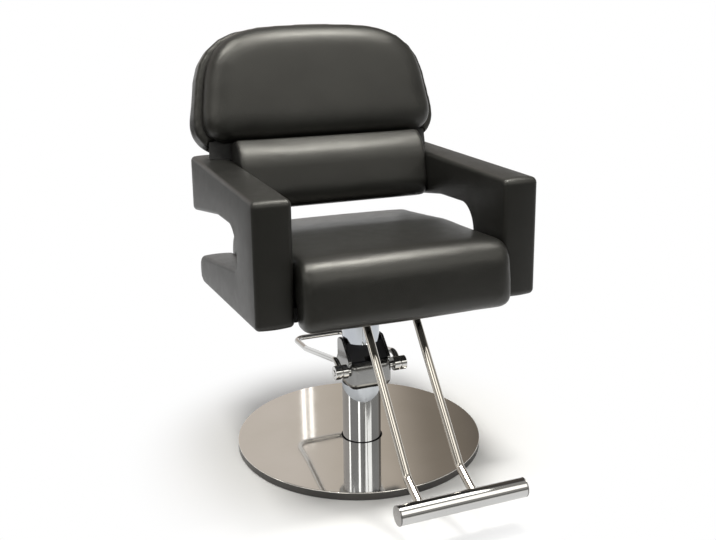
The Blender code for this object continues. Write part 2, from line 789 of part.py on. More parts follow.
# Pump lever: one bent rod, with both ends in the collars
arm_start = crest.normalized() * (socket_low + FIT)
arm_bends = [
    arm_start,
    crest,
    Vector((LEVER_DIP[0] + SHAFT_FORWARD, LEVER_DIP[1] - SHAFT_HEIGHT)),
    Vector((LEVER_END[0] + SHAFT_FORWARD, LEVER_END[1] - SHAFT_HEIGHT)),
]
left_arm = [Vector((-collar_middle, *bend)) for bend in arm_bends]
right_arm = [Vector((collar_middle, *bend)) for bend in reversed(arm_bends)]
tube("pump_lever", bent_path(left_arm + right_arm, LEVER_BEND), LEVER_RADIUS, CHROME, parent=lever_axis)

# Plunger under the cam, on its return spring
rod("pump_plunger", PLUNGER_RADIUS, -PLUNGER_LENGTH, 0, STEEL, parent=plunger_axis)
spring_low = plunger_bore_floor + FIT + SPRING_WIRE
spring_high = plunger_top - PLUNGER_LENGTH - FIT - SPRING_WIRE
coil = []
POINTS_PER_TURN = 10
for step in range(SPRING_TURNS * POINTS_PER_TURN + 1):
    turn = step / POINTS_PER_TURN
    angle = 2 * math.pi * turn
    height = spring_low + (spring_high - spring_low) * turn / SPRING_TURNS
    coil.append(
        Vector((SPRING_RADIUS * math.cos(angle), SPRING_RADIUS * math.sin(angle) - PLUNGER_FORWARD, height))
    )
plunger_spring = tube("plunger_spring", coil, SPRING_WIRE, STEEL, parent=lift_axis)
plunger_spring.data.bevel_resolution = 1
print("least gap in the plunger spring, mm:", 1000 * (coil[POINTS_PER_TURN].z - coil[0].z - 2 * SPRING_WIRE))

# Seat: post, plate and board, with the cushion over the board
board_top = BOARD_DROP + BOARD_THICKNESS
plate_high = BOARD_DROP - FIT
plate_low = plate_high - SEAT_PLATE_THICKNESS
post_low = SOCKET_TOP + FIT
mount_post = turned(
    "mount_post",
    [
        (0, SEAT_HEIGHT + plate_high),
        (POST_RADIUS, SEAT_HEIGHT + plate_high),
        (POST_RADIUS, post_low),
        (0, post_low),
    ],
    CHROME,
    SMALL,
    False,
    parent=lift_axis,
)
post_trim = block(
    "post_trim",
    (-2 * POST_RADIUS, -2 * POST_RADIUS, plate_low - FIT),
    (2 * POST_RADIUS, 2 * POST_RADIUS, plate_high + CUT_MARGIN),
    None,
    parent=seat_frame,
)
boolean(mount_post, post_trim)

seat_plate = block(
    "seat_plate",
    (-SEAT_PLATE_HALF_WIDTH, SEAT_PLATE_SETBACK - SEAT_PLATE_HALF_DEPTH, plate_low),
    (SEAT_PLATE_HALF_WIDTH, SEAT_PLATE_SETBACK + SEAT_PLATE_HALF_DEPTH, plate_high),
    STEEL,
    parent=seat_frame,
)
board_half = ARM_INNER - FIT
seat_board = block(
    "seat_board",
    (-board_half, -BOARD_FRONT, BOARD_DROP),
    (board_half, BOARD_REAR, board_top),
    BLACK_BOARD,
    parent=seat_frame,
)


def board_bolt(name, across, along, under, cut):
    """A bolt driven up into the seat board through what it holds."""
    head = (across, along, under - FIT)
    depth = BOARD_DROP - under + FIT + SEAT_BOLT_BITE
    bolt(name, depth, parent=seat_frame, location=head, rotation=(math.pi, 0, 0))
    hole = rod(
        name + "_hole",
        BOLT_RADIUS + FIT,
        -FIT,
        depth + FIT,
        None,
        TINY,
        parent=seat_frame,
        location=head,
    )
    boolean(seat_board, hole)
    boolean(cut, hole)


bolt_across = SEAT_PLATE_HALF_WIDTH - SEAT_BOLT_INSET
bolt_along = SEAT_PLATE_HALF_DEPTH - SEAT_BOLT_INSET
for number, (x, y) in enumerate(((-1, -1), (1, -1), (1, 1), (-1, 1))):
    board_bolt(
        f"seat_bolt_{number + 1}", x * bolt_across, SEAT_PLATE_SETBACK + y * bolt_along, plate_low, seat_plate
    )

seat_corners = [
    (-SEAT_FRONT, SEAT_LIP, SEAT_CHIN),
    (-BOARD_FRONT - FIT, SEAT_LIP, 0),
    (-BOARD_FRONT - FIT, board_top + FIT, 0),
    (BOARD_REAR + FIT, board_top + FIT, 0),
    (BOARD_REAR + FIT, SEAT_HEEL, 0),
    (SEAT_REAR, SEAT_HEEL, 0),
    (SEAT_REAR, SEAT_REAR_TOP, SEAT_BACK_ROUND),
    (-SEAT_MIDDLE, SEAT_MIDDLE_TOP, SEAT_MIDDLE_ROUND),
    (-SEAT_FRONT, SEAT_FRONT_TOP, SEAT_ROLL),
]
seat_shape = slab("seat_cushion", outline(seat_corners), -SEAT_HALF, SEAT_HALF, FROM_SIDE)
for part in range(-3, 4):
    geometry = list(seat_shape.verts) + list(seat_shape.edges) + list(seat_shape.faces)
    place = (SEAT_HALF * part / 4, 0, 0)
    bmesh.ops.bisect_plane(seat_shape, geom=geometry, plane_co=place, plane_no=(1, 0, 0))
for side in (-SEAT_HALF, SEAT_HALF):
    round_side(seat_shape, 0, side, SEAT_SIDE_ROUND, 3)
for vertex in seat_shape.verts:
    swell = 1 - (vertex.co.x / SEAT_HALF) ** 2
    if vertex.co.z > board_top + 2 * FIT:
        height = (vertex.co.z - board_top) / (SEAT_MIDDLE_TOP - board_top)
        vertex.co.z += SEAT_CROWN * swell * height
    if vertex.co.y < -BOARD_FRONT - 2 * FIT:
        vertex.co.y -= SEAT_BULGE * swell * min(1, (-vertex.co.y - BOARD_FRONT) / SEAT_ROLL)
finished("seat_cushion", seat_shape, LEATHER, parent=seat_frame)

# Arm panels, held to the seat board and the back board by studs
arm_corners = [
    (-ARM_FRONT, ARM_BOTTOM_FRONT, ARM_CORNER),
    (ARM_LOWER_REAR, ARM_BOTTOM_REAR, ARM_LOWER_END_ROUND),
    (ARM_LOWER_REAR, ARM_LOWER_TOP_REAR, ARM_LOWER_END_ROUND),
    (-ARM_OPENING_FRONT, ARM_LOWER_TOP_FRONT, ARM_OPENING_HEEL),
    (-ARM_OPENING_FRONT, ARM_OPENING_TOP_FRONT, ARM_OPENING_ROUND),
    (*ARM_OPENING_CROWN, ARM_OPENING_CROWN_ROUND),
    (ARM_REAR, ARM_OPENING_TOP_REAR, ARM_CORNER),
    (ARM_REAR, ARM_TOP_REAR, ARM_CORNER),
    (-ARM_FRONT, ARM_TOP, ARM_CORNER),
]
back_stud_depth = FIT + BACK_BOARD_THICKNESS / 2


def stud_across(name, radius, sign, frame, along, up, held):
    """A stud from a board's edge into the arm beside it."""
    middle = (sign * ARM_INNER, along, up)
    rod(
        name,
        radius,
        -STUD_BITE,
        STUD_BITE,
        STEEL,
        TINY,
        parent=frame,
        location=middle,
        rotation=lies_along_x,
    )
    hole = rod(
        name + "_hole",
        radius + FIT,
        -STUD_BITE - FIT,
        STUD_BITE + FIT,
        None,
        TINY,
        parent=frame,
        location=middle,
        rotation=lies_along_x,
    )
    for piece in held:
        boolean(piece, hole)


back_outline = outline(
    [
        (-board_half, BACK_BOARD_BOTTOM, 0),
        (board_half, BACK_BOARD_BOTTOM, 0),
        (board_half, NECK_LOW, 0),
        (NECK_HALF, NECK_LOW + NECK_TAPER, 0),
        (NECK_HALF, NECK_HIGH - NECK_TAPER, 0),
        (BACK_BOARD_HALF, NECK_HIGH, 0),
        (BACK_BOARD_HALF, BACK_BOARD_TOP, 0),
        (-BACK_BOARD_HALF, BACK_BOARD_TOP, 0),
        (-BACK_BOARD_HALF, NECK_HIGH, 0),
        (-NECK_HALF, NECK_HIGH - NECK_TAPER, 0),
        (-NECK_HALF, NECK_LOW + NECK_TAPER, 0),
        (-board_half, NECK_LOW, 0),
    ]
)
back_board_shape = slab("back_board", back_outline, -FIT - BACK_BOARD_THICKNESS, -FIT, FROM_FRONT)
back_board = finished("back_board", back_board_shape, BLACK_BOARD, parent=back_frame)

for side, sign in (("left", -1), ("right", 1)):
    low = min(sign * ARM_INNER, sign * (ARM_INNER + ARM_THICKNESS))
    shape = slab("arm", outline(arm_corners), low, low + ARM_THICKNESS, FROM_SIDE)
    for face in (low, low + ARM_THICKNESS):
        round_side(shape, 0, face, ARM_EDGE, 3)
    arm = finished(f"arm_{side}", shape, LEATHER, parent=lift_axis)
    for end, along in (("front", -ARM_STUD_SPREAD), ("rear", ARM_STUD_SPREAD)):
        name = f"arm_stud_{end}_{side}"
        stud_across(name, STUD_RADIUS, sign, seat_frame, along, ARM_STUD_HEIGHT, (arm, seat_board))
    name = f"back_stud_{side}"
    held = (arm, back_board)
    stud_across(name, BACK_STUD_RADIUS, sign, back_frame, back_stud_depth, -BACK_STUD_DROP, held)


# Upper back: a rimmed pad in front of the board, and a padded shell that takes the board in a pocket
def back_shape(name, half_low, half_high, bottom, corner_low, low, high):
    corners = [
        (-half_low, bottom, corner_low),
        (half_low, bottom, corner_low),
        (half_high, PAD_TOP, PAD_CORNER_HIGH),
        (-half_high, PAD_TOP, PAD_CORNER_HIGH),
    ]
    return slab(name, outline(corners), low, high, FROM_FRONT)


pad_shape = back_shape(
    "back_pad", PAD_HALF_LOW, PAD_HALF_HIGH, PAD_BOTTOM, PAD_CORNER_LOW, FIT, PAD_THICKNESS
)
round_side(pad_shape, 1, -PAD_THICKNESS, PAD_RIM, 4)
front = max(pad_shape.faces, key=lambda face: -face.calc_center_median().y)
bmesh.ops.inset_region(
    pad_shape, faces=[front], thickness=PAD_CROWN_INSET, depth=PAD_CROWN, use_even_offset=True
)
finished("back_pad", pad_shape, LEATHER, parent=back_frame)

shell_bottom = PAD_BOTTOM - SHELL_DROP
shell_shape = back_shape(
    "back_shell",
    PAD_HALF_LOW + SHELL_PROUD_LOW,
    PAD_HALF_HIGH + SHELL_PROUD_HIGH,
    shell_bottom,
    SHELL_CORNER_LOW,
    -SHELL_THICKNESS,
    -FIT,
)
round_side(shell_shape, 1, SHELL_THICKNESS, SHELL_RIM, 4)
round_side(shell_shape, 1, FIT, SHELL_SEAM, 2)
back_shell = finished("back_shell", shell_shape, LEATHER, parent=back_frame)
pocket_low = shell_bottom - CUT_MARGIN
pocket_rear = 2 * FIT + BACK_BOARD_THICKNESS
for name, half, top in (("neck", NECK_HALF, NECK_HIGH), ("board", BACK_BOARD_HALF, BACK_BOARD_TOP)):
    pocket = block(
        f"{name}_pocket",
        (-half - FIT, -CUT_MARGIN, pocket_low),
        (half + FIT, pocket_rear, top + FIT),
        None,
        parent=back_frame,
    )
    boolean(back_shell, pocket)

# Lumbar roll in front of the board, between the arms
roll_half = ARM_INNER - SOFT_GAP
roll_top = PAD_BOTTOM - SOFT_GAP
roll_corners = [
    (-SOFT_GAP, ROLL_BOTTOM, ROLL_REAR_ROUND),
    (-SOFT_GAP, roll_top, ROLL_REAR_ROUND),
    (-ROLL_DEPTH, roll_top, ROLL_TOP_ROUND),
    (-ROLL_DEPTH, ROLL_BOTTOM, ROLL_FRONT_ROUND),
]
roll_shape = slab("lumbar_roll", outline(roll_corners), -roll_half, roll_half, FROM_SIDE)
for part in range(-2, 3):
    geometry = list(roll_shape.verts) + list(roll_shape.edges) + list(roll_shape.faces)
    bmesh.ops.bisect_plane(
        roll_shape, geom=geometry, plane_co=(roll_half * part / 3, 0, 0), plane_no=(1, 0, 0)
    )
for side in (-roll_half, roll_half):
    round_side(roll_shape, 0, side, ROLL_END_ROUND, 2)
for vertex in roll_shape.verts:
    swell = 1 - (vertex.co.x / roll_half) ** 2
    vertex.co.y += ROLL_CROWN * swell * vertex.co.y / ROLL_DEPTH
lumbar_roll = finished("lumbar_roll", roll_shape, LEATHER, parent=back_frame)
for side, sign in (("left", -1), ("right", 1)):
    name = f"roll_stud_{side}"
    middle = (sign * ROLL_STUD_SPREAD, 0, ROLL_STUD_HEIGHT)
    turned_back = (math.pi / 2, 0, 0)
    low = -BACK_BOARD_THICKNESS
    rod(
        name,
        STUD_RADIUS,
        low,
        ROLL_STUD_BITE,
        STEEL,
        TINY,
        parent=back_frame,
        location=middle,
        rotation=turned_back,
    )
    hole = rod(
        name + "_hole",
        STUD_RADIUS + FIT,
        low - CUT_MARGIN,
        ROLL_STUD_BITE + FIT,
        None,
        TINY,
        parent=back_frame,
        location=middle,
        rotation=turned_back,
    )
    boolean(back_board, hole)
    boolean(lumbar_roll, hole)


# Footrest: two bent rods strapped under the seat board, and a round bar with plugged ends
def from_seat(along, up):
    """(Y, Z) of a point given in the seat's raked frame."""
    y = along * math.cos(SEAT_RAKE) + up * math.sin(SEAT_RAKE)
    z = up * math.cos(SEAT_RAKE) - along * math.sin(SEAT_RAKE)
    return Vector((y, z + SEAT_HEIGHT))


rod_up = BOARD_DROP - FIT - FOOT_ROD_RADIUS
rod_bends = [
    from_seat(-FOOT_ROD_REAR, rod_up),
    from_seat(-FOOT_ROD_BEND_AT, rod_up),
    Vector(FOOT_KNEE),
    Vector(FOOT_BAR),
]
bar_centre = (FOOT_BAR_OFFSET, *FOOT_BAR)
bar_bore = FOOT_BAR_RADIUS - FOOT_BAR_WALL
bar_end = FOOT_BAR_HALF - PLUG_LIP - FIT
footrest_bar = ring(
    "footrest_bar",
    bar_bore,
    FOOT_BAR_RADIUS,
    -bar_end,
    bar_end,
    CHROME,
    32,
    parent=lift_axis,
    location=bar_centre,
    rotation=lies_along_x,
)
toe = Vector(FOOT_BAR) - Vector(FOOT_KNEE)
toe_angle = math.atan2(toe.y, toe.x)
for side, sign in (("left", -1), ("right", 1)):
    bends = [Vector((sign * FOOT_ROD_HALF, *bend)) for bend in rod_bends]
    tube(f"footrest_rod_{side}", bent_path(bends, FOOT_BEND), FOOT_ROD_RADIUS, CHROME, parent=lift_axis)
    mouth = rod(
        f"footrest_mouth_{side}",
        FOOT_ROD_RADIUS + FIT,
        -FOOT_BAR_RADIUS - CUT_MARGIN,
        0,
        None,
        parent=lift_axis,
        location=(sign * FOOT_ROD_HALF, *FOOT_BAR),
        rotation=(toe_angle - math.pi / 2, 0, 0),
    )
    boolean(footrest_bar, mouth)
    turned(
        f"footrest_plug_{side}",
        [
            (0, FOOT_BAR_HALF),
            (FOOT_BAR_RADIUS, FOOT_BAR_HALF),
            (FOOT_BAR_RADIUS, bar_end + FIT),
            (bar_bore - FIT, bar_end + FIT),
            (bar_bore - FIT, bar_end - PLUG_DEPTH),
            (0, bar_end - PLUG_DEPTH),
        ],
        CHROME,
        32,
        False,
        parent=lift_axis,
        location=bar_centre,
        rotation=(0, sign * math.pi / 2, 0),
    )

strap_high = rod_up - FOOT_ROD_RADIUS - FIT
strap_low = strap_high - STRAP_THICKNESS
for end, along in (("front", -STRAP_FRONT), ("rear", -STRAP_REAR)):
    strap = block(
        f"footrest_strap_{end}",
        (-STRAP_HALF, along - STRAP_WIDTH / 2, strap_low),
        (STRAP_HALF, along + STRAP_WIDTH / 2, strap_high),
        STEEL,
        parent=seat_frame,
    )
    board_bolt(f"strap_bolt_{end}", 0, along, strap_low, strap)
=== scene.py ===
import json
import math

import bmesh
import bpy
import numpy as np
from mathutils import Matrix, Vector


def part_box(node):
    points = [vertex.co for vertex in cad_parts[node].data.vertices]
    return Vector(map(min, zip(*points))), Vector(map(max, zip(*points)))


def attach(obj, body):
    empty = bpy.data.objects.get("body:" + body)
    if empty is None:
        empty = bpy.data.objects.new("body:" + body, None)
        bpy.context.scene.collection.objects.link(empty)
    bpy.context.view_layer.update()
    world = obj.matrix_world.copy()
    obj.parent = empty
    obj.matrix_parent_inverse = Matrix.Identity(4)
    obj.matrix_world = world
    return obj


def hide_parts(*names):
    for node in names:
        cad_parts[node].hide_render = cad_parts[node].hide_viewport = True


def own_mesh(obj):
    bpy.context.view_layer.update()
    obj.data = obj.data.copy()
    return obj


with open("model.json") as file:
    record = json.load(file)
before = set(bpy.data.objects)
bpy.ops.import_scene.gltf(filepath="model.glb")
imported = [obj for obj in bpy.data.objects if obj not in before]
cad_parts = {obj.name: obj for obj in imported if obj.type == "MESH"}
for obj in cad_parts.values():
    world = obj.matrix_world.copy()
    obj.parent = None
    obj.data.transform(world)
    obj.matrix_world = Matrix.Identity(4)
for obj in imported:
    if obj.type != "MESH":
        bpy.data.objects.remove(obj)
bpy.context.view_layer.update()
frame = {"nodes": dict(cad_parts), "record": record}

# Round base: a steel plate under a thin cover of polished stainless steel.
# The cover is spun over the plate. Its skirt is satin and coloured dark grey as painted shade, for the dim floor
# that its side reflects.
BASE_RADIUS = 0.295
BASE_HEIGHT = 0.0188
BASE_SETBACK = 0.020
COVER_WALL = 0.0015
SKIRT_LIFT = 0.0025
COVER_ROLL = 0.0017
COLUMN_RADIUS = 0.0465
COLUMN_CLEARANCE = 0.0010
FOOT_SHADOW_REACH = 0.0036  # how far the painted shadow gap at the column's foot reaches from the column
RUNNING_FIT = 0.0003
COVER_FACETS = 256
NOISE_LOW = 0.3  # the range that the noise keeps to for the most part
NOISE_HIGH = 0.7
CLOUD_SCALE = 7.0
POLISH_SCALE = 26.0
WAVE_SCALE = 14.0


def turned(profile, steps, closed=True):
    """A lathe-turned shape from a profile of (radius, height), about the vertical axis."""
    shape = bmesh.new()
    points = [shape.verts.new((radius, 0, height)) for radius, height in profile]
    runs = list(zip(points, points[1:]))
    if closed:
        runs.append((points[-1], points[0]))
    edges = [shape.edges.new(run) for run in runs]
    bmesh.ops.spin(
        shape, geom=points + edges, cent=(0, 0, 0), axis=(0, 0, 1), angle=math.tau, steps=steps, use_merge=True
    )
    bmesh.ops.remove_doubles(shape, verts=shape.verts, dist=1e-6)
    bmesh.ops.recalc_face_normals(shape, faces=shape.faces)
    return shape


def rounded(shape, edges, width, segments):
    """Rounds the edges given."""
    bmesh.ops.bevel(
        shape,
        geom=edges,
        offset=width,
        offset_type="OFFSET",
        affect="EDGES",
        segments=segments,
        profile=0.5,
        material=-1,
        clamp_overlap=True,
    )


def eased(shape, width, segments=3, sharper_than=30):
    """Rounds every edge that is sharper than the given angle in degrees."""
    limit = math.radians(sharper_than)
    edges = [edge for edge in shape.edges if edge.is_manifold and edge.calc_face_angle() > limit]
    rounded(shape, edges, width, segments)
    return shape


def fitted(name, shape, finish, body, stands_for, crease=38, flat=True):
    """Makes the shape an object that moves with its body and stands for the solids named.
    Where flat is true, large faces are shaded flat right up to their rounded edges."""
    mesh = bpy.data.meshes.new(name)
    shape.to_mesh(mesh)
    shape.free()
    mesh.materials.append(finish)
    mesh.shade_smooth()
    mesh.set_sharp_from_angle(angle=math.radians(crease))
    piece = bpy.data.objects.new(name, mesh)
    bpy.context.scene.collection.objects.link(piece)
    if flat:
        even = piece.modifiers.new("flat faces", "WEIGHTED_NORMAL")
        even.weight = 100
        even.keep_sharp = True
    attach(piece, body)
    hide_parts(*stands_for)
    return piece


def blank(name):
    """A new node material, with its tree, its shader and the piece's own coordinates."""
    finish = bpy.data.materials.new(name)
    finish.use_nodes = True
    tree = finish.node_tree
    return finish, tree, tree.nodes["Principled BSDF"], tree.nodes.new("ShaderNodeTexCoord").outputs["Object"]


def mottled(tree, place, scale, low=0.0, high=1.0, detail=3.0):
    """A noise that wanders between two values."""
    noise = tree.nodes.new("ShaderNodeTexNoise")
    noise.inputs["Scale"].default_value = scale
    noise.inputs["Detail"].default_value = detail
    tree.links.new(place, noise.inputs["Vector"])
    spread = tree.nodes.new("ShaderNodeMapRange")
    spread.inputs["From Min"].default_value = NOISE_LOW
    spread.inputs["From Max"].default_value = NOISE_HIGH
    spread.inputs["To Min"].default_value = low
    spread.inputs["To Max"].default_value = high
    tree.links.new(noise.outputs["Fac"], spread.inputs["Value"])
    return spread.outputs["Result"]


def tinted(tree, factor, first, second):
    """A colour between two, led by a factor."""
    mix = tree.nodes.new("ShaderNodeMix")
    mix.data_type = "RGBA"
    mix.inputs["A"].default_value = (*first, 1)
    mix.inputs["B"].default_value = (*second, 1)
    tree.links.new(factor, mix.inputs["Factor"])
    return mix.outputs["Result"]


def bumped(tree, shader, height, depth, strength, under=None):
    """Adds relief to the shader, over another bump where one is given."""
    bump = tree.nodes.new("ShaderNodeBump")
    bump.inputs["Distance"].default_value = depth
    bump.inputs["Strength"].default_value = strength
    tree.links.new(height, bump.inputs["Height"])
    if under:
        tree.links.new(under, bump.inputs["Normal"])
    tree.links.new(bump.outputs["Normal"], shader.inputs["Normal"])
    return bump.outputs["Normal"]


def metal(name, pale, dull, smooth, rough, wave=0.00002):
    """Bare or plated metal: slightly cloudy in colour and gloss, with a faint unevenness."""
    finish, tree, shader, place = blank(name)
    shader.inputs["Metallic"].default_value = 1.0
    cloud = mottled(tree, place, CLOUD_SCALE)
    tree.links.new(tinted(tree, cloud, pale, dull), shader.inputs["Base Color"])
    tree.links.new(mottled(tree, place, POLISH_SCALE, smooth, rough, 6.0), shader.inputs["Roughness"])
    bumped(tree, shader, mottled(tree, place, WAVE_SCALE), wave, 0.6)
    return finish


polished_steel = metal("polished stainless steel", (0.90, 0.87, 0.83), (0.85, 0.82, 0.77), 0.045, 0.075)
# The skirt's dark grey is painted shade, for the dim floor that the cover's side reflects.
skirt_painted_shade = metal("skirt in painted shade", (0.13, 0.125, 0.12), (0.09, 0.088, 0.085), 0.30, 0.42)
# The dark ring at the column's foot is a painted shadow, for the gap between the column and the cover.
foot_painted_shadow = metal("painted shadow gap at the column's foot", (0.030, 0.028, 0.026), (0.020, 0.019, 0.018), 0.45, 0.60)

base_cover = turned(
    [
        (COLUMN_RADIUS + COLUMN_CLEARANCE, BASE_HEIGHT),
        (COLUMN_RADIUS + FOOT_SHADOW_REACH, BASE_HEIGHT),
        (BASE_RADIUS, BASE_HEIGHT),
        (BASE_RADIUS, SKIRT_LIFT),
        (BASE_RADIUS - COVER_WALL, SKIRT_LIFT),
        (BASE_RADIUS - COVER_WALL, BASE_HEIGHT - COVER_WALL),
        (COLUMN_RADIUS + COLUMN_CLEARANCE, BASE_HEIGHT - COVER_WALL),
    ],
    COVER_FACETS,
)
rim = [edge for edge in base_cover.edges if all(vert.co.z > BASE_HEIGHT - 1e-6 for vert in edge.verts)]
rim = [edge for edge in rim if all(vert.co.xy.length > BASE_RADIUS - 1e-4 for vert in edge.verts)]
bmesh.ops.bevel(
    base_cover, geom=rim, offset=COVER_ROLL, affect="EDGES", segments=5, profile=0.5, material=-1
)
for face in base_cover.faces:
    middle = face.calc_center_median()
    # Skirt faces take the painted shade; faces near the column's foot take the painted shadow gap.
    if middle.xy.length > BASE_RADIUS - COVER_WALL / 2 and middle.z < BASE_HEIGHT - COVER_ROLL:
        face.material_index = 1
    elif middle.xy.length < COLUMN_RADIUS + FOOT_SHADOW_REACH and middle.z > BASE_HEIGHT - COVER_WALL / 2:
        face.material_index = 2
outer = [vert for vert in base_cover.verts if vert.co.xy.length > COLUMN_RADIUS + FOOT_SHADOW_REACH + COVER_WALL]
bmesh.ops.translate(base_cover, verts=outer, vec=(0, BASE_SETBACK, 0))
base_cover = fitted("base_cover_polished", base_cover, polished_steel, "base", ["base_cover"])
base_cover.data.materials.append(skirt_painted_shade)
base_cover.data.materials.append(foot_painted_shadow)

# Column: a chromed steel sleeve that stands in the base and guides the pump. Its chrome, also on the pump's tube and
# the seat's post, is tinted bluish as a painted reflection of daylight.
# The pump's own tube slides in it and shows when the seat is up.
COLUMN_TOP = 0.1605
COLUMN_WALL = 0.003
BODY_RADIUS = 0.040
BODY_WALL = 0.003
COLUMN_EDGE = 0.0011
BODY_EDGE = 0.0008
TUBE_FACETS = 128

chrome = metal("bright chrome", (0.62, 0.615, 0.60), (0.56, 0.555, 0.545), 0.030, 0.055)
# The bluish tint of this chrome is a painted reflection of daylight.
chrome_painted_blue_reflection = metal("chromed column, painted bluish reflection", (0.52, 0.545, 0.58), (0.46, 0.485, 0.52), 0.030, 0.050)


def tube_upright(outer, wall, low, high, edge):
    """A turned tube with eased ends."""
    inner = outer - wall
    return eased(turned([(outer, low), (outer, high), (inner, high), (inner, low)], TUBE_FACETS), edge)


column = tube_upright(COLUMN_RADIUS, COLUMN_WALL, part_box("column_sleeve")[0][2], COLUMN_TOP, COLUMN_EDGE)
fitted("column_chromed", column, chrome_painted_blue_reflection, "base", ["column_sleeve"])
body = tube_upright(BODY_RADIUS, BODY_WALL, *(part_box("pump_body")[end][2] for end in (0, 1)), BODY_EDGE)
fitted("pump_body_chromed", body, chrome_painted_blue_reflection, "chair", ["pump_body"])

# Pump head: a cast body, chromed dull, with a rounded belly and a shoulder rounded about the cross shaft. Its chrome
# colour is darkened as painted shade, for the dull grey that its front reflects.
# A sloping lug stands on each side, and a dark socket between the lugs carries the seat's post.
HEAD_HALF = 0.0535
HEAD_FRONT = -0.072
HEAD_REAR = 0.0535
HEAD_LOW = 0.164
HEAD_HIGH = 0.232
HEAD_FRONT_CORNER = 0.020
HEAD_REAR_CORNER = 0.036
HEAD_BELLY = 0.019
HEAD_SHOULDER = 0.0175
LUG_OUTER = 0.0532
LUG_THICKNESS = 0.008
LUG_FRONT = -0.058
LUG_KNEE = 0.234
LUG_CREST = -0.012
LUG_REAR = 0.018
LUG_FOOT = 0.212
LUG_HIGH = 0.275
LUG_ROUND = 0.012
LUG_KNEE_ROUND = 0.010
LUG_EDGE = 0.0012
SOCKET_HIGH = 0.266
CORNER_STEPS = 12
LOOP_STEPS = 8


def plate(corners, lift):
    """A flat face through corners of (point, rounding), extruded along a vector."""
    shape = bmesh.new()
    points = [shape.verts.new(point) for point, _ in corners]
    face = shape.faces.new(points)
    face.normal_update()
    for index, (point, rounding) in enumerate(corners):
        if not rounding:
            continue
        here = Vector(point)
        before = (Vector(corners[index - 1][0]) - here).normalized()
        after = (Vector(corners[(index + 1) % len(corners)][0]) - here).normalized()
        reach = rounding / math.tan(before.angle(after) / 2)
        bmesh.ops.bevel(
            shape,
            geom=[points[index]],
            offset=reach,
            offset_type="OFFSET",
            affect="VERTICES",
            segments=CORNER_STEPS,
            profile=0.5,
            material=-1,
        )
    bmesh.ops.remove_doubles(shape, verts=shape.verts, dist=1e-6)
    grown = bmesh.ops.extrude_face_region(shape, geom=list(shape.faces))
    moved = [item for item in grown["geom"] if isinstance(item, bmesh.types.BMVert)]
    bmesh.ops.translate(shape, verts=moved, vec=lift)
    bmesh.ops.recalc_face_normals(shape, faces=shape.faces)
    return shape


def rounded_loop(shape, axis, level, width):
    """Rounds the edges that lie in one plane."""
    loop = [edge for edge in shape.edges if all(abs(vert.co[axis] - level) < 1e-6 for vert in edge.verts)]
    rounded(shape, loop, width, LOOP_STEPS)


def joined(first, second):
    """Adds one shape's mesh to another's."""
    mesh = bpy.data.meshes.new("joined")
    second.to_mesh(mesh)
    second.free()
    first.from_mesh(mesh)
    bpy.data.meshes.remove(mesh)


head = plate(
    [
        ((-HEAD_HALF, HEAD_FRONT, HEAD_LOW), HEAD_FRONT_CORNER),
        ((HEAD_HALF, HEAD_FRONT, HEAD_LOW), HEAD_FRONT_CORNER),
        ((HEAD_HALF, HEAD_REAR, HEAD_LOW), HEAD_REAR_CORNER),
        ((-HEAD_HALF, HEAD_REAR, HEAD_LOW), HEAD_REAR_CORNER),
    ],
    (0, 0, HEAD_HIGH - HEAD_LOW),
)
rounded_loop(head, 2, HEAD_LOW, HEAD_BELLY)
rounded_loop(head, 2, HEAD_HIGH, HEAD_SHOULDER)
for low in (-LUG_OUTER, LUG_OUTER - LUG_THICKNESS):
    lug = plate(
        [
            ((low, LUG_FRONT, LUG_FOOT), 0),
            ((low, LUG_REAR, LUG_FOOT), 0),
            ((low, LUG_REAR, LUG_HIGH), LUG_ROUND),
            ((low, LUG_CREST, LUG_HIGH), LUG_ROUND),
            ((low, LUG_FRONT, LUG_KNEE), LUG_KNEE_ROUND),
        ],
        (LUG_THICKNESS, 0, 0),
    )
    joined(head, eased(lug, LUG_EDGE, 2))
# The head's chrome is darker than the bright chrome: painted shade for the dull grey its front reflects, on a dull
# cast gloss.
head_chrome_painted_shade = metal("head chrome, painted shade", (0.27, 0.27, 0.265), (0.22, 0.22, 0.215), 0.16, 0.24)
fitted("pump_head_cast", head, head_chrome_painted_shade, "chair", ["pump_head"])

SEAT_HEIGHT = 0.3785
SEAT_RAKE = math.radians(4.5)
seat_frame = Matrix.Translation((0, 0, SEAT_HEIGHT)) @ Matrix.Rotation(-SEAT_RAKE, 4, "X")
POST_RADIUS = 0.0445  # the cup over the slimmer post of the solids, as wide as the lugs leave room for
POST_SPARE = 0.030  # cut off again where the post meets the raked seat plate
POST_FACETS = 96
POST_EDGE = 0.0010
PLATE_UNDERSIDE = 0.0134


def sliced(shape, point, normal, trimmed=False):
    """Cuts the faces along a plane, and trims off what lies beyond it where asked to."""
    everything = list(shape.verts) + list(shape.edges) + list(shape.faces)
    return bmesh.ops.bisect_plane(shape, geom=everything, plane_co=point, plane_no=normal, clear_outer=trimmed)


post = eased(
    turned(
        [
            (0, SEAT_HEIGHT + POST_SPARE),
            (POST_RADIUS, SEAT_HEIGHT + POST_SPARE),
            (POST_RADIUS, SOCKET_HIGH + RUNNING_FIT),
            (0, SOCKET_HIGH + RUNNING_FIT),
        ],
        POST_FACETS,
        False,
    ),
    POST_EDGE,
)
cut = sliced(
    post, seat_frame @ Vector((0, 0, PLATE_UNDERSIDE)), seat_frame.to_3x3() @ Vector((0, 0, 1)), trimmed=True
)
bmesh.ops.contextual_create(post, geom=[item for item in cut["geom_cut"] if isinstance(item, bmesh.types.BMEdge)])
bmesh.ops.recalc_face_normals(post, faces=post.faces)
# The post's chrome carries the same painted bluish reflection.
fitted("mount_post_chromed", post, chrome_painted_blue_reflection, "chair", ["mount_post"])

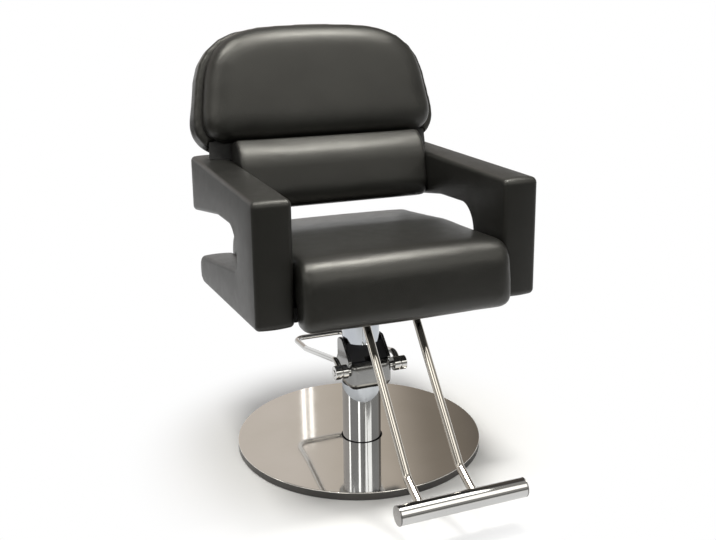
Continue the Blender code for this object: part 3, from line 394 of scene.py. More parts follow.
# Pump lever: a chromed rod bent into a loop, with its two ends in grooved clamp collars.
# The collars sit on a cross shaft through the head, so the whole loop rocks about that shaft.
SHAFT_FORWARD = -0.057
SHAFT_HEIGHT = 0.2145
SHAFT_RADIUS = 0.007
SHAFT_HALF = 0.0905
COLLAR_RADIUS = 0.0165
COLLAR_MIDDLE = 0.0735
COLLAR_HALF = 0.0155
LEVER_RADIUS = 0.007
LEVER_BEND = 0.030
LEVER_CREST = Vector((0, -0.030, 0.234))
LEVER_SLOPE = Vector((0, 0.200, 0.180))
LEVER_TIP = Vector((0, 0.300, 0.172))
LEVER_SEATED = 0.0118  # from the shaft's axis to the rod's end in its collar
GROOVE_HALF = 0.002
GROOVE_DEPTH = 0.003
SHAFT_EDGE = 0.0012
COLLAR_EDGE = 0.0009
SHAFT_FACETS = 48
COLLAR_FACETS = 72
along_x = Matrix.Translation((0, SHAFT_FORWARD, SHAFT_HEIGHT)) @ Matrix.Rotation(math.pi / 2, 4, "Y")


def bent_rod(corners, radius, bend, sides=40, steps=14):
    """A round rod that runs straight between corners and is bent to an even radius at each."""
    shape = bmesh.new()
    way = (corners[1] - corners[0]).normalized()
    start = Matrix.Translation(corners[0]) @ way.to_track_quat("Z", "Y").to_matrix().to_4x4()
    bmesh.ops.create_circle(shape, cap_ends=True, segments=sides, radius=radius, matrix=start)
    front = list(shape.faces)
    at = corners[0]
    for index in range(1, len(corners)):
        here = corners[index]
        last = index == len(corners) - 1
        turn = 0 if last else way.angle(corners[index + 1] - here)
        stop = here if last else here - way * bend * math.tan(turn / 2)
        grown = bmesh.ops.extrude_face_region(shape, geom=front)["geom"]
        bmesh.ops.translate(
            shape, verts=[item for item in grown if isinstance(item, bmesh.types.BMVert)], vec=stop - at
        )
        front = [item for item in grown if isinstance(item, bmesh.types.BMFace)]
        if last:
            break
        onward = (corners[index + 1] - here).normalized()
        axis = way.cross(onward).normalized()
        centre = stop + axis.cross(way) * bend
        ring = front + list(front[0].edges) + list(front[0].verts)
        spun = bmesh.ops.spin(
            shape, geom=ring, cent=centre, axis=axis, angle=turn, steps=steps, use_merge=False
        )
        front = [item for item in spun["geom_last"] if isinstance(item, bmesh.types.BMFace)]
        at = here + onward * bend * math.tan(turn / 2)
        way = onward
    bmesh.ops.recalc_face_normals(shape, faces=shape.faces)
    return shape


shaft = turned(
    [(0, -SHAFT_HALF), (SHAFT_RADIUS, -SHAFT_HALF), (SHAFT_RADIUS, SHAFT_HALF), (0, SHAFT_HALF)], SHAFT_FACETS, False
)
eased(shaft, SHAFT_EDGE, 2)
bmesh.ops.transform(shaft, matrix=along_x, verts=shaft.verts)
fitted("lever_shaft_chromed", shaft, chrome, "lever", ["lever_shaft"])

for side, sign in (("left", -1), ("right", 1)):
    collar = turned(
        [
            (COLLAR_RADIUS, COLLAR_HALF),
            (COLLAR_RADIUS, GROOVE_HALF),
            (COLLAR_RADIUS - GROOVE_DEPTH, GROOVE_HALF),
            (COLLAR_RADIUS - GROOVE_DEPTH, -GROOVE_HALF),
            (COLLAR_RADIUS, -GROOVE_HALF),
            (COLLAR_RADIUS, -COLLAR_HALF),
            (SHAFT_RADIUS + RUNNING_FIT, -COLLAR_HALF),
            (SHAFT_RADIUS + RUNNING_FIT, COLLAR_HALF),
        ],
        COLLAR_FACETS,
    )
    eased(collar, COLLAR_EDGE, 2)
    place = Matrix.Translation((sign * COLLAR_MIDDLE, 0, 0)) @ along_x
    bmesh.ops.transform(collar, matrix=place, verts=collar.verts)
    fitted(f"lever_collar_chromed_{side}", collar, chrome, "lever", [f"lever_collar_{side}"])

shaft_point = Vector((0, SHAFT_FORWARD, SHAFT_HEIGHT))
lever_end = shaft_point + (LEVER_CREST - shaft_point).normalized() * LEVER_SEATED
lever_run = [lever_end, LEVER_CREST, LEVER_SLOPE, LEVER_TIP]
across = Vector((COLLAR_MIDDLE, 0, 0))
lever_loop = [at - across for at in lever_run] + [at + across for at in reversed(lever_run)]
lever = bent_rod(lever_loop, LEVER_RADIUS, LEVER_BEND)
fitted("pump_lever_chromed", lever, chrome, "lever", ["pump_lever"])

# Footrest: two chromed rods strapped under the seat board, bent forward at the knee. Their chrome is tinted warm as
# a painted reflection of a tan room.
# They end in a round chromed bar, which is closed by a pressed-in disc at each end.
ROD_HALF = 0.059
ROD_RADIUS = 0.009
ROD_BEND = 0.030
ROD_UP = 0.0107
BAR_CENTRE = Vector((0.028, -0.4684, 0.0854))
BAR_RADIUS = 0.020
BAR_HALF = 0.141
BAR_WALL = 0.002
BAR_EDGE = 0.0004
BAR_FACETS = 96
DISC_LIP = 0.0025
DISC_STEP = 0.0023
DISC_DEPTH = 0.012
DISC_EDGE = 0.0009
ROD_REAR = -0.085  # in the seat's frame, as the next one
ROD_FRONT = -0.1585
ROD_KNEE = Vector((0, -0.397, 0.1186))

# The rods' warm tint is a painted reflection of a tan room.
rod_chrome_painted_warm_reflection = metal("chromed rod, painted warm reflection", (0.58, 0.55, 0.50), (0.52, 0.49, 0.445), 0.035, 0.060)
for side, sign in (("left", -1), ("right", 1)):
    out = Vector((sign * ROD_HALF, 0, 0))
    run = [
        seat_frame @ Vector((0, ROD_REAR, ROD_UP)),
        seat_frame @ Vector((0, ROD_FRONT, ROD_UP)),
        ROD_KNEE,
        Vector((0, BAR_CENTRE.y, BAR_CENTRE.z)),
    ]
    rod = bent_rod([at + out for at in run], ROD_RADIUS, ROD_BEND)
    fitted(f"footrest_rod_chromed_{side}", rod, rod_chrome_painted_warm_reflection, "chair", [f"footrest_rod_{side}"])

lying = Matrix.Translation(BAR_CENTRE) @ Matrix.Rotation(math.pi / 2, 4, "Y")
bar_end = BAR_HALF - DISC_LIP - RUNNING_FIT
bar_bore = BAR_RADIUS - BAR_WALL
bar = turned(
    [(BAR_RADIUS, -bar_end), (BAR_RADIUS, bar_end), (bar_bore, bar_end), (bar_bore, -bar_end)], BAR_FACETS
)
eased(bar, BAR_EDGE, 2)
bmesh.ops.transform(bar, matrix=lying, verts=bar.verts)
fitted("footrest_bar_chromed", bar, chrome, "chair", ["footrest_bar"])
end_disc = metal("drawn steel disc", (0.30, 0.29, 0.28), (0.25, 0.245, 0.24), 0.22, 0.34)
for side, sign in (("left", -1), ("right", 1)):
    disc = turned(
        [
            (0, BAR_HALF),
            (BAR_RADIUS, BAR_HALF),
            (BAR_RADIUS, BAR_HALF - DISC_LIP),
            (BAR_RADIUS - DISC_STEP, BAR_HALF - DISC_LIP),
            (BAR_RADIUS - DISC_STEP, BAR_HALF - DISC_DEPTH),
            (0, BAR_HALF - DISC_DEPTH),
        ],
        BAR_FACETS,
        False,
    )
    eased(disc, DISC_EDGE)
    facing_out = Matrix.Rotation(0 if sign > 0 else math.pi, 4, "X")
    bmesh.ops.transform(disc, matrix=lying @ facing_out, verts=disc.verts)
    fitted(f"footrest_disc_{side}", disc, end_disc, "chair", [f"footrest_plug_{side}"])

# Inner works and fixings: turned steel, bronze, nylon and rubber pieces inside the pump.
# Plate, socket, straps and bolts under the seat are dark zinc, and the two boards are covered in black cloth; the
# seat board's black also serves as painted shade in the gap between the seat and the arms.
# The plunger's spring stands in the head, with a mesh of its own; each stroke of the lever presses the real spring
# shorter, which the scene leaves out.
SHADE_SCALE = 60.0
MATT_SCALE = 120.0
TEXTURE_DEPTH = 0.0002
dark_zinc = metal("dark zinc", (0.17, 0.17, 0.18), (0.12, 0.12, 0.125), 0.28, 0.45)
turned_bronze = metal("turned bronze", (0.50, 0.34, 0.16), (0.40, 0.26, 0.12), 0.20, 0.34)


def moulded(name, pale, dull, smooth, rough, pore):
    """Moulded nylon, rubber or a covered board: matt, with a fine even texture."""
    finish, tree, shader, place = blank(name)
    shade = mottled(tree, place, SHADE_SCALE)
    tree.links.new(tinted(tree, shade, pale, dull), shader.inputs["Base Color"])
    tree.links.new(mottled(tree, place, MATT_SCALE, smooth, rough), shader.inputs["Roughness"])
    bumped(tree, shader, mottled(tree, place, 1.0 / pore, detail=2.0), TEXTURE_DEPTH, 0.5)
    return finish


works = {
    "dark_steel": dark_zinc,
    "bearing_bronze": turned_bronze,
    "nylon": moulded("moulded nylon", (0.76, 0.75, 0.71), (0.70, 0.69, 0.65), 0.40, 0.55, 0.0008),
    "rubber": moulded("black rubber", (0.020, 0.020, 0.020), (0.028, 0.028, 0.028), 0.55, 0.75, 0.0006),
    # The boards' black cloth also stands in as painted shade in the gap between the seat and the arms.
    "black_covered_board": moulded(
        "black board cloth, partly painted shade", (0.010, 0.010, 0.010), (0.017, 0.017, 0.017), 0.62, 0.80, 0.0009
    ),
    "chrome": chrome,
    "polished_stainless": polished_steel,
}
for row in frame["record"]["subparts"]:
    node = frame["nodes"][row["node"]]
    if row["material_slot"] in works:
        for place in node.material_slots:
            place.material = works[row["material_slot"]]


def solid(node):
    """The shape of a solid of the frame."""
    shape = bmesh.new()
    shape.from_mesh(frame["nodes"][node].data)
    bmesh.ops.remove_doubles(shape, verts=shape.verts, dist=1e-5)
    return shape


coil = solid("plunger_spring")
spring = fitted("plunger_spring_coiled", coil, dark_zinc, "chair", ["plunger_spring"])
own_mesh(spring)

# Seat cushion: a thick block of foam on the seat board, covered in black leatherette.
# The cover is drawn over the front in one piece, so the front edge is a soft roll without a seam.
LEATHER_DARK = (0.008, 0.008, 0.0073)
LEATHER_PALE = (0.013, 0.013, 0.0119)
LEATHER_SHEEN = (1.0, 0.985, 0.93)
GRAIN_SCALE = 430.0
GRAIN_CREASE = 0.22  # share of a pebble that falls away to its creases
GRAIN_DEPTH = 0.00009
PORE_SCALE = 1700.0
PORE_DEPTH = 0.00002
TONE_SCALE = 11.0
GLOSS_SCALE = 38.0
UNEVEN_SCALE = 16.0
UNEVEN_DEPTH = 0.0012
COVER_STIFFNESS = 15
COVER_BENDING = 1.5
FOAM_PRESSURE = 4.0
SETTLE_FRAMES = 20
TAUT_SHARE = 20  # percentile of the push outwards that counts as no swelling
SMOOTHING = 60  # rounds that even out how far the cover swells
SEAT_VOXEL = 0.0062
SEAT_ROUNDS = 4
SEAT_SWELL = 0.002
BOARD_TOP = 0.052  # in the seat's frame, as the next one
BOARD_HALF = 0.2375
SEAT_SPREAD = 1.02  # the loaded foam all but fills the width between the arms
SEAT_REAR_FROM = 0.12
SEAT_REAR_TO = 0.26
SEAT_REAR_DRAWN = 0.016  # how far the cover draws the rear end forwards
SEAT_REAR_SPREAD = 0.010


def smooth_step(tree, value, low, high):
    """Rises smoothly from 0 at the low value to 1 at the high one."""
    step = tree.nodes.new("ShaderNodeMapRange")
    step.interpolation_type = "SMOOTHSTEP"
    step.inputs["From Min"].default_value = low
    step.inputs["From Max"].default_value = high
    tree.links.new(value, step.inputs["Value"])
    return step.outputs["Result"]


def leatherette(name, gloss, smooth=0.31, rough=0.39):
    """Black leatherette: pebbled grain with fine creases, semi-gloss, a little uneven over the foam."""
    finish, tree, shader, place = blank(name)
    shader.inputs["Specular IOR Level"].default_value = gloss
    shader.inputs["Specular Tint"].default_value = (*LEATHER_SHEEN, 1)
    tone = mottled(tree, place, TONE_SCALE, detail=4.0)
    tree.links.new(tinted(tree, tone, LEATHER_DARK, LEATHER_PALE), shader.inputs["Base Color"])
    tree.links.new(mottled(tree, place, GLOSS_SCALE, smooth, rough, 5.0), shader.inputs["Roughness"])
    swell = bumped(tree, shader, mottled(tree, place, UNEVEN_SCALE, detail=1.0), UNEVEN_DEPTH, 0.02)
    pebbles = tree.nodes.new("ShaderNodeTexVoronoi")
    pebbles.feature = "DISTANCE_TO_EDGE"
    pebbles.inputs["Scale"].default_value = GRAIN_SCALE
    tree.links.new(place, pebbles.inputs["Vector"])
    creases = smooth_step(tree, pebbles.outputs["Distance"], 0.0, GRAIN_CREASE)
    grain = bumped(tree, shader, creases, GRAIN_DEPTH, 1.0, swell)
    bumped(tree, shader, mottled(tree, place, PORE_SCALE, detail=2.0), PORE_DEPTH, 0.35, grain)
    return finish


black_cover = leatherette("black leatherette", 0.52)
arm_cover = leatherette("black leatherette, arms", 0.44, 0.36, 0.40)
stretched_cover = leatherette("black leatherette, stretched", 0.62, 0.29, 0.34)


def relaxed(values, edges, free, rounds):
    """Draws each free value half way to its neighbours' mean, as a taut cover rounds off the foam."""
    ends = np.concatenate((edges[:, 0], edges[:, 1]))
    others = np.concatenate((edges[:, 1], edges[:, 0]))
    share = np.bincount(ends, minlength=len(values))[:, None]
    for _ in range(rounds):
        columns = [np.bincount(ends, weights=column[others], minlength=len(values)) for column in values.T]
        mean = np.stack(columns, axis=1) / share
        values = np.where(free, values + 0.5 * (mean - values), values)
    return values


def read_points(mesh, what="co"):
    """The points of a mesh, or their normals, one row each."""
    flat = np.empty(len(mesh.vertices) * 3)
    mesh.vertices.foreach_get(what, flat)
    return flat.reshape(-1, 3)


def stuffed(name, node, shape, finish, voxel, rounds, swell, held):
    """A cover over foam: the solid's shape rounded off, then swollen by the foam and drawn in at its edges.
    Points for which held is true are fixed to a board and stay where they are."""
    piece = fitted(name, shape, finish, "chair", [node], 180, False)
    even = piece.modifiers.new("even", "REMESH")
    even.mode = "VOXEL"
    even.voxel_size = voxel
    worn = bpy.data.meshes.new_from_object(piece.evaluated_get(bpy.context.evaluated_depsgraph_get()))
    piece.modifiers.clear()
    piece.data = worn
    worn.name = name
    edges = np.empty(len(worn.edges) * 2, dtype=np.int64)
    worn.edges.foreach_get("vertices", edges)
    edges = edges.reshape(-1, 2)
    tacked = np.array([held(vert.co) for vert in worn.vertices])
    free = ~tacked[:, None]
    points = relaxed(read_points(worn), edges, np.ones_like(free), 1)
    points = relaxed(points, edges, free, rounds)
    worn.vertices.foreach_set("co", points.ravel())
    worn.update()
    normals = read_points(worn, "normal")
    tacks = piece.vertex_groups.new(name="tacks")
    tacks.add(np.flatnonzero(tacked).tolist(), 1.0, "REPLACE")
    cover = piece.modifiers.new("cover", "CLOTH")
    cover.settings.quality = 5
    cover.settings.mass = 0.3
    cover.settings.tension_stiffness = COVER_STIFFNESS
    cover.settings.compression_stiffness = COVER_STIFFNESS
    cover.settings.bending_stiffness = COVER_BENDING
    cover.settings.use_pressure = True
    cover.settings.uniform_pressure_force = FOAM_PRESSURE
    cover.settings.effector_weights.gravity = 0.0
    cover.settings.vertex_group_mass = "tacks"
    cover.point_cache.frame_start = 1
    cover.point_cache.frame_end = SETTLE_FRAMES
    for step in range(1, SETTLE_FRAMES + 1):
        bpy.context.scene.frame_set(step)
    blown = read_points(piece.evaluated_get(bpy.context.evaluated_depsgraph_get()).data)
    piece.modifiers.clear()
    piece.vertex_groups.clear()
    bpy.context.scene.frame_set(1)
    outward = ((blown - points) * normals).sum(axis=1, keepdims=True)
    outward = (outward - np.percentile(outward[~tacked], TAUT_SHARE)).clip(-swell, swell)
    outward = relaxed(np.where(free, outward, 0), edges, free, SMOOTHING)
    worn.vertices.foreach_set("co", (points + normals * outward).ravel())
    worn.update()
    worn.shade_smooth()
    fine = piece.modifiers.new("fine", "SUBSURF")
    fine.levels = 1
    fine.render_levels = 1


to_seat = seat_frame.inverted()


def on_seat_board(point):
    """Where the cover is stapled to the seat board."""
    local = to_seat @ point
    return local.z < BOARD_TOP and abs(local.y) < BOARD_HALF


seat = solid("seat_cushion")
bmesh.ops.scale(seat, verts=seat.verts, vec=(SEAT_SPREAD, 1, 1))
for vert in seat.verts:
    rear = min(max((vert.co.y - SEAT_REAR_FROM) / (SEAT_REAR_TO - SEAT_REAR_FROM), 0), 1)
    vert.co.y -= rear * SEAT_REAR_DRAWN
    vert.co.x *= 1 + rear * SEAT_REAR_SPREAD
stuffed(
    "seat_cushion_covered",
    "seat_cushion",
    seat,
    stretched_cover,
    SEAT_VOXEL,
    SEAT_ROUNDS,
    SEAT_SWELL,
    on_seat_board,
)

# Arm panels: a plywood C cut open to the rear, wrapped in thin foam and leatherette.
# Flat side panels are sewn to one band that runs round the outline, so the edges are soft but straight.
ARM_INNER = 0.237
ARM_WIDTH = 0.082
ARM_EDGE = 0.0105
ARM_CROWN = 0.0014
ARM_PUFF = 0.0022
ARM_PUFF_REACH = 0.018  # over which a side panel rises from its edge
ARM_PATCH = 0.019
ARM_RIBS = (-0.024, -0.012, 0.0, 0.012, 0.024)
ARM_SPANS = ((Vector((0, 1, 0)), -0.24, 0.33), (Vector((0, 0, 1)), 0.38, 0.67))
ARM_OUTLINE = [  # back, up and rounding of each corner
    (-0.249, 0.411, 0.014),
    (0.284, 0.369, 0.034),
    (0.284, 0.437, 0.034),
    (-0.105, 0.503, 0.026),
    (-0.105, 0.590, 0.060),
    (0.070, 0.584, 0.200),
    (0.337, 0.541, 0.014),
    (0.337, 0.680, 0.014),
    (-0.249, 0.675, 0.014),
]


def from_outline(point):
    """How far a point of a side panel lies from the panel's edge."""
    least = 1.0
    for first, second in zip(ARM_OUTLINE, ARM_OUTLINE[1:] + ARM_OUTLINE[:1]):
        start = Vector(first[:2])
        run = Vector(second[:2]) - start
        along = min(max((point.yz - start).dot(run) / run.length_squared, 0), 1)
        least = min(least, (point.yz - start - run * along).length)
    return least


for side, sign in (("left", -1), ("right", 1)):
    low = ARM_INNER if sign > 0 else -ARM_INNER - ARM_WIDTH
    arm = plate([((low, y, z), rounding) for y, z, rounding in ARM_OUTLINE], (ARM_WIDTH, 0, 0))
    for level in (low, low + ARM_WIDTH):
        rounded_loop(arm, 0, level, ARM_EDGE)
    for across, level, stop in ARM_SPANS:
        while level < stop:
            sliced(arm, across * level, across)
            level += ARM_PATCH
    middle = low + ARM_WIDTH / 2
    for step in ARM_RIBS:
        sliced(arm, (middle + step, 0, 0), (1, 0, 0))
    arm.normal_update()
    normals = {vert: vert.normal.copy() for vert in arm.verts}
    for vert in arm.verts:
        reach = abs(vert.co.x - middle)
        if reach > ARM_WIDTH / 2 - 1e-5:
            depth = from_outline(vert.co) - ARM_EDGE
            rise = ARM_PUFF * (1 - math.exp(-max(depth, 0) / ARM_PUFF_REACH))
            vert.co.x += math.copysign(rise, vert.co.x - middle)
        elif reach < ARM_WIDTH / 2 - ARM_EDGE:
            vert.co += normals[vert] * ARM_CROWN * (1 - (reach / (ARM_WIDTH / 2 - ARM_EDGE)) ** 2)
    piece = fitted(f"arm_covered_{side}", arm, arm_cover, "chair", [f"arm_{side}"], 60, False)

# Back board and lumbar roll: a cloth-covered board whose wings rest on the arms, and a foam roll screwed to it.
# The roll's cover is sewn to a flat end cap on each side, with the seam along the edge.
BACK_LEAN = math.radians(14)
BACK_FOOT = (0, 0.2464, 0.675)
WING_FROM = ARM_INNER - 0.001
WING_LOW = 0.680
WING_HIGH = 0.690
WING_DROP = 0.0072
BOARD_FACE = -0.006  # in the back's frame: covers behind this are stapled to the board
back_frame = Matrix.Translation(BACK_FOOT) @ Matrix.Rotation(-BACK_LEAN, 4, "X")
to_back = back_frame.inverted()

board = solid("back_board")
for vert in board.verts:
    if abs(vert.co.x) > WING_FROM and WING_LOW < vert.co.z < WING_HIGH:
        vert.co += back_frame.to_3x3() @ Vector((0, 0, -WING_DROP))
fitted("back_board_covered", board, works["black_covered_board"], "chair", ["back_board"])


def against_board(point):
    """Where a cover in front of the board is stapled to it."""
    return (to_back @ point).y > BOARD_FACE


ROLL_HALF = 0.2362
ROLL_LOW = -0.125
ROLL_HIGH = 0.0412
ROLL_FRONT = -0.102
ROLL_ARC = 0.090
ROLL_ARC_HEIGHT = -0.030
ROLL_ARC_FROM = math.asin((ROLL_HIGH - ROLL_ARC_HEIGHT) / ROLL_ARC)
ROLL_ARC_STEPS = 12
ROLL_BACK = -0.0008
ROLL_HEEL = 0.014
ROLL_TOP_EDGE = 0.003
ROLL_CHIN = 0.040
ROLL_END_EDGE = 0.004
ROLL_VOXEL = 0.0040
ROLL_ROUNDS = 1
ROLL_SWELL = 0.001
roll_corners = [((ROLL_BACK, ROLL_LOW), ROLL_HEEL), ((ROLL_BACK, ROLL_HIGH), ROLL_TOP_EDGE)]
for step in range(ROLL_ARC_STEPS + 1):
    angle = ROLL_ARC_FROM * (1 - step / ROLL_ARC_STEPS)
    turn = (ROLL_FRONT + ROLL_ARC - ROLL_ARC * math.cos(angle), ROLL_ARC_HEIGHT + ROLL_ARC * math.sin(angle))
    roll_corners.append((turn, 0))
roll_corners.append(((ROLL_FRONT, ROLL_LOW), ROLL_CHIN))
roll = plate([((-ROLL_HALF, *at), rounding) for at, rounding in roll_corners], (2 * ROLL_HALF, 0, 0))
eased(roll, ROLL_END_EDGE, 2, 60)
bmesh.ops.transform(roll, matrix=back_frame, verts=roll.verts)
stuffed(
    "lumbar_roll_covered",
    "lumbar_roll",
    roll,
    black_cover,
    ROLL_VOXEL,
    ROLL_ROUNDS,
    ROLL_SWELL,
    against_board,
)

# Upper back: a padded shell behind the board and a thick pad in front of it.
# Both covers are stapled round the board's edge, which leaves a narrow groove between them.
SHELL_VOXEL = 0.0055
SHELL_ROUNDS = 3
SHELL_SWELL = 0.003
SHELL_FACE = 0.018  # in the back's frame: the shell in front of this is held by the board
PAD_VOXEL = 0.0050
PAD_ROUNDS = 55
PAD_SWELL = 0.003
ARCH_FROM = 0.12
ARCH_TO = 0.32
ARCH_RISE = 0.0045
ARCH_HALF = 0.125
ARCH_CUTS = 6
ARCH_STEP = 0.028


def arched(shape):
    """Lifts the middle of the top edge and lowers its ends, as the cover's pull arches it."""
    for step in range(-ARCH_CUTS, ARCH_CUTS + 1):
        sliced(shape, (step * ARCH_STEP, 0, 0), (1, 0, 0))
    for vert in shape.verts:
        local = to_back @ vert.co
        share = min(max((local.z - ARCH_FROM) / (ARCH_TO - ARCH_FROM), 0), 1)
        local.z += share * max(ARCH_RISE * (1 - (local.x / ARCH_HALF) ** 2), -ARCH_RISE)
        vert.co = back_frame @ local
    return shape


def inside_shell(point):
    """Where the shell's cover is stapled to the board."""
    return (to_back @ point).y < SHELL_FACE


stuffed(
    "back_shell_covered",
    "back_shell",
    arched(solid("back_shell")),
    black_cover,
    SHELL_VOXEL,
    SHELL_ROUNDS,
    SHELL_SWELL,
    inside_shell,
)
stuffed(
    "back_pad_covered",
    "back_pad",
    arched(solid("back_pad")),
    black_cover,
    PAD_VOXEL,
    PAD_ROUNDS,
    PAD_SWELL,
    against_board,
)

# Floor, light and camera: white paper under the chair and up behind it, on a plain grey studio floor.
# The room above is warm grey and darker on one side, and dim in front, so the black covers stay black.
FLOOR_SHADOW_REACH = 0.25  # the paper shows the shadow up to here, and is plain white from the next one on
FLOOR_WHITE_FROM = 0.58
FLOOR_PALE = (0.93, 0.93, 0.93)
BACKDROP_WAY = (0.365, 0.931, 0.0)  # towards the white backdrop
BACKDROP_STARTS = -1.10
BACKDROP_FULL = -0.55
PAPER_EDGE = -1.30  # where the white paper starts to fade to the left
PAPER_FULL = -0.84
FLOOR_GREY = (0.32, 0.32, 0.31)
FLOOR_RADIUS = 16.0
FLOOR_DROP = 0.0004
pale_floor, tree, shader, place = blank("pale floor")
shader.inputs["Roughness"].default_value = 0.9
shader.inputs["Specular IOR Level"].default_value = 0.0


def figured(tree, operation, first, second):
    """One number worked out from two."""
    figure = tree.nodes.new("ShaderNodeMath")
    figure.operation = operation
    tree.links.new(first, figure.inputs[0])
    tree.links.new(second, figure.inputs[1])
    return figure.outputs[0]


rays = tree.nodes.new("ShaderNodeLightPath")
seen = figured(tree, "MAXIMUM", rays.outputs["Is Camera Ray"], rays.outputs["Is Glossy Ray"])
shown = figured(tree, "MAXIMUM", seen, rays.outputs["Is Transmission Ray"])
far = tree.nodes.new("ShaderNodeVectorMath")
far.operation = "LENGTH"
tree.links.new(place, far.inputs[0])
fade = smooth_step(tree, far.outputs["Value"], FLOOR_SHADOW_REACH, FLOOR_WHITE_FROM)
along = tree.nodes.new("ShaderNodeVectorMath")
along.operation = "DOT_PRODUCT"
along.inputs[1].default_value = BACKDROP_WAY
tree.links.new(place, along.inputs[0])
rear = smooth_step(tree, along.outputs["Value"], BACKDROP_STARTS, BACKDROP_FULL)
spot = tree.nodes.new("ShaderNodeSeparateXYZ")
tree.links.new(place, spot.inputs["Vector"])
left = smooth_step(tree, spot.outputs["X"], PAPER_EDGE, PAPER_FULL)
paper = figured(tree, "MULTIPLY", rear, left)
papered = figured(tree, "MULTIPLY", shown, paper)
tree.links.new(tinted(tree, papered, FLOOR_GREY, FLOOR_PALE), shader.inputs["Base Color"])
white = tree.nodes.new("ShaderNodeEmission")
sweep = tree.nodes.new("ShaderNodeMixShader")
tree.links.new(figured(tree, "MULTIPLY", papered, fade), sweep.inputs["Fac"])
tree.links.new(shader.outputs["BSDF"], sweep.inputs[1])
tree.links.new(white.outputs["Emission"], sweep.inputs[2])
tree.links.new(sweep.outputs["Shader"], tree.nodes["Material Output"].inputs["Surface"])
ground = bmesh.new()
below = Matrix.Translation((0, 0, -FLOOR_DROP))
bmesh.ops.create_circle(ground, cap_ends=True, segments=128, radius=FLOOR_RADIUS, matrix=below)
ground_mesh = bpy.data.meshes.new("floor")
ground.to_mesh(ground_mesh)
ground.free()
ground_mesh.materials.append(pale_floor)
floor = bpy.data.objects.new("floor", ground_mesh)
bpy.context.scene.collection.objects.link(floor)

ROOM_DIFFUSE = 0.5  # share of the room's brightness that lights matt surfaces
room = bpy.data.worlds.new("studio")
bpy.context.scene.world = room
room.use_nodes = True
tree = room.node_tree
backdrop = tree.nodes["Background"]
look = tree.nodes.new("ShaderNodeTexCoord").outputs["Generated"]
axes = tree.nodes.new("ShaderNodeSeparateXYZ")
tree.links.new(look, axes.inputs["Vector"])


def graded(source, stops):
    """A colour that changes with one axis of the direction looked in."""
    ramp = tree.nodes.new("ShaderNodeValToRGB")
    ramp.color_ramp.interpolation = "EASE"
    while len(ramp.color_ramp.elements) < len(stops):
        ramp.color_ramp.elements.new(0.5)
    for element, (position, colour) in zip(ramp.color_ramp.elements, stops):
        element.position = position
        element.color = (*colour, 1)
    tree.links.new(source, ramp.inputs["Fac"])
    return ramp.outputs["Color"]


def blended(kind, factor, first, second):
    """Two colours of the room, mixed or multiplied."""
    mix = tree.nodes.new("ShaderNodeMix")
    mix.data_type = "RGBA"
    mix.blend_type = kind
    if isinstance(factor, float):
        mix.inputs["Factor"].default_value = factor
    else:
        tree.links.new(factor, mix.inputs["Factor"])
    tree.links.new(first, mix.inputs["A"])
    tree.links.new(second, mix.inputs["B"])
    return mix.outputs["Result"]


upward = graded(
    axes.outputs["Z"],
    [
        (0.00, (1.0, 1.0, 1.0)),
        (0.10, (1.0, 1.0, 1.0)),
        (0.20, (0.64, 0.58, 0.53)),
        (0.45, (0.56, 0.52, 0.48)),
        (1.00, (0.40, 0.40, 0.41)),
    ],
)
sideways = graded(
    axes.outputs["X"],
    [
        (0.24, (1.0, 1.0, 1.0)),
        (0.34, (0.78, 0.76, 0.72)),
        (0.40, (0.36, 0.34, 0.31)),
        (0.47, (0.17, 0.16, 0.15)),
        (0.75, (0.30, 0.29, 0.28)),
    ],
)
above = graded(axes.outputs["Z"], [(0.10, (0, 0, 0)), (0.20, (1, 1, 1))])
behind = graded(axes.outputs["Y"], [(0.05, (0, 0, 0)), (0.30, (1, 1, 1))])
region = blended("MULTIPLY", 1.0, above, behind)
plain = tree.nodes.new("ShaderNodeRGB")
plain.outputs[0].default_value = (1, 1, 1, 1)
shade = blended("MIX", region, plain.outputs[0], sideways)
facing = graded(axes.outputs["Z"], [(0.00, (0.19, 0.19, 0.186)), (0.30, (0.38, 0.37, 0.35))])
rearward = graded(axes.outputs["Y"], [(0.00, (0, 0, 0)), (0.30, (1, 1, 1))])
tree.links.new(
    blended("MIX", rearward, facing, blended("MULTIPLY", 1.0, upward, shade)), backdrop.inputs["Color"]
)
rays = tree.nodes.new("ShaderNodeLightPath")
dim = tree.nodes.new("ShaderNodeMapRange")
dim.inputs["To Min"].default_value = 1.0
dim.inputs["To Max"].default_value = ROOM_DIFFUSE
tree.links.new(rays.outputs["Is Diffuse Ray"], dim.inputs["Value"])
tree.links.new(dim.outputs["Result"], backdrop.inputs["Strength"])


def softbox(name, place, aim, width, height, watts, colour=(1, 1, 1)):
    """A flat lamp of the given size, turned to face a point."""
    lamp = bpy.data.lights.new(name, "AREA")
    lamp.shape = "RECTANGLE"
    lamp.size = width
    lamp.size_y = height
    lamp.energy = watts
    lamp.color = colour
    holder = bpy.data.objects.new(name, lamp)
    holder.location = place
    holder.rotation_euler = (Vector(aim) - Vector(place)).to_track_quat("-Z", "Y").to_euler()
    bpy.context.scene.collection.objects.link(holder)


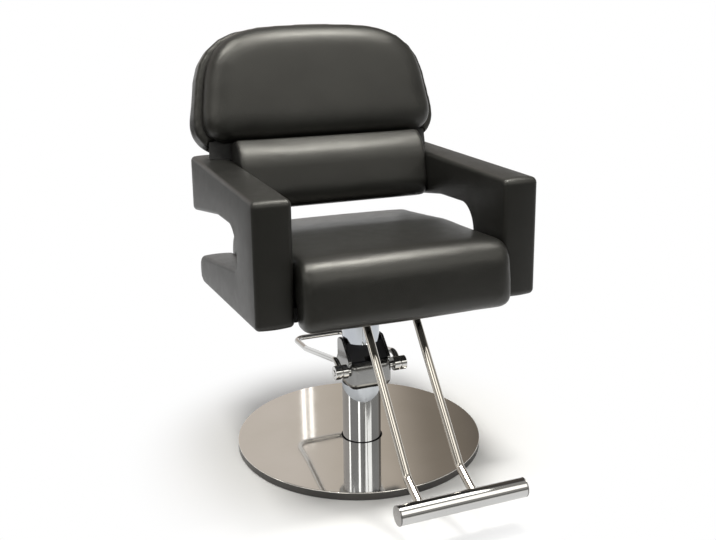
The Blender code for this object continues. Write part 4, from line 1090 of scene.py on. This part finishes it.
WARM = (1.0, 0.985, 0.935)
softbox("overhead", (0.55, -0.20, 2.60), (0.55, -0.20, 0.0), 1.50, 1.40, 22.0, WARM)
softbox("overhead core", (0.50, -0.30, 2.55), (0.50, -0.30, 0.0), 0.50, 0.30, 34.0, WARM)
softbox("upper left", (-0.75, -0.15, 2.58), (-0.75, -0.15, 0.0), 0.60, 0.50, 28.0, WARM)
softbox("left panel", (-1.85, -1.10, 1.90), (0.0, 0.2, 0.8), 1.40, 0.80, 7.0, WARM)
softbox("front panel", (2.0, -5.6, 5.1), (0.0, 0.0, 0.8), 5.0, 4.2, 105.0, WARM)
softbox("front left strip", (-2.9, -4.0, 2.6), (0.0, 0.0, 0.6), 0.9, 2.0, 14.0, WARM)
softbox("left strip", (-5.0, 0.7, 2.3), (0.0, 0.0, 0.6), 0.8, 2.0, 12.0, WARM)
softbox("near strip", (0.86, 3.2, 1.48), (0.0, 0.0, 0.1), 0.018, 0.46, 0.047)
softbox("far strip", (0.91, 3.2, 1.48), (0.0, 0.0, 0.1), 0.022, 0.46, 0.041)

CAMERA_PLACE = Vector((-0.7426, -1.8941, 1.0410))
CAMERA_AIM = Vector((0.0045, 0.020, 0.5522))
CAMERA_ROLL = math.radians(-0.68)
FOCAL_PIXELS = 904.57
PHOTO_WIDTH = 716
SENSOR_WIDTH = 36.0
MIDDLE_DROP = 50.0  # pixels from the lens's axis down to the middle of the picture
lens = bpy.data.cameras.new("photo view")
lens.sensor_width = SENSOR_WIDTH
lens.lens = FOCAL_PIXELS / PHOTO_WIDTH * SENSOR_WIDTH
lens.shift_y = -MIDDLE_DROP / PHOTO_WIDTH
camera = bpy.data.objects.new("photo view", lens)
gaze = (CAMERA_AIM - CAMERA_PLACE).to_track_quat("-Z", "Y").to_matrix().to_4x4()
camera.matrix_world = Matrix.Translation(CAMERA_PLACE) @ gaze @ Matrix.Rotation(CAMERA_ROLL, 4, "Z")
bpy.context.scene.collection.objects.link(camera)
bpy.context.scene.camera = camera
bpy.context.scene.view_settings.view_transform = "Standard"
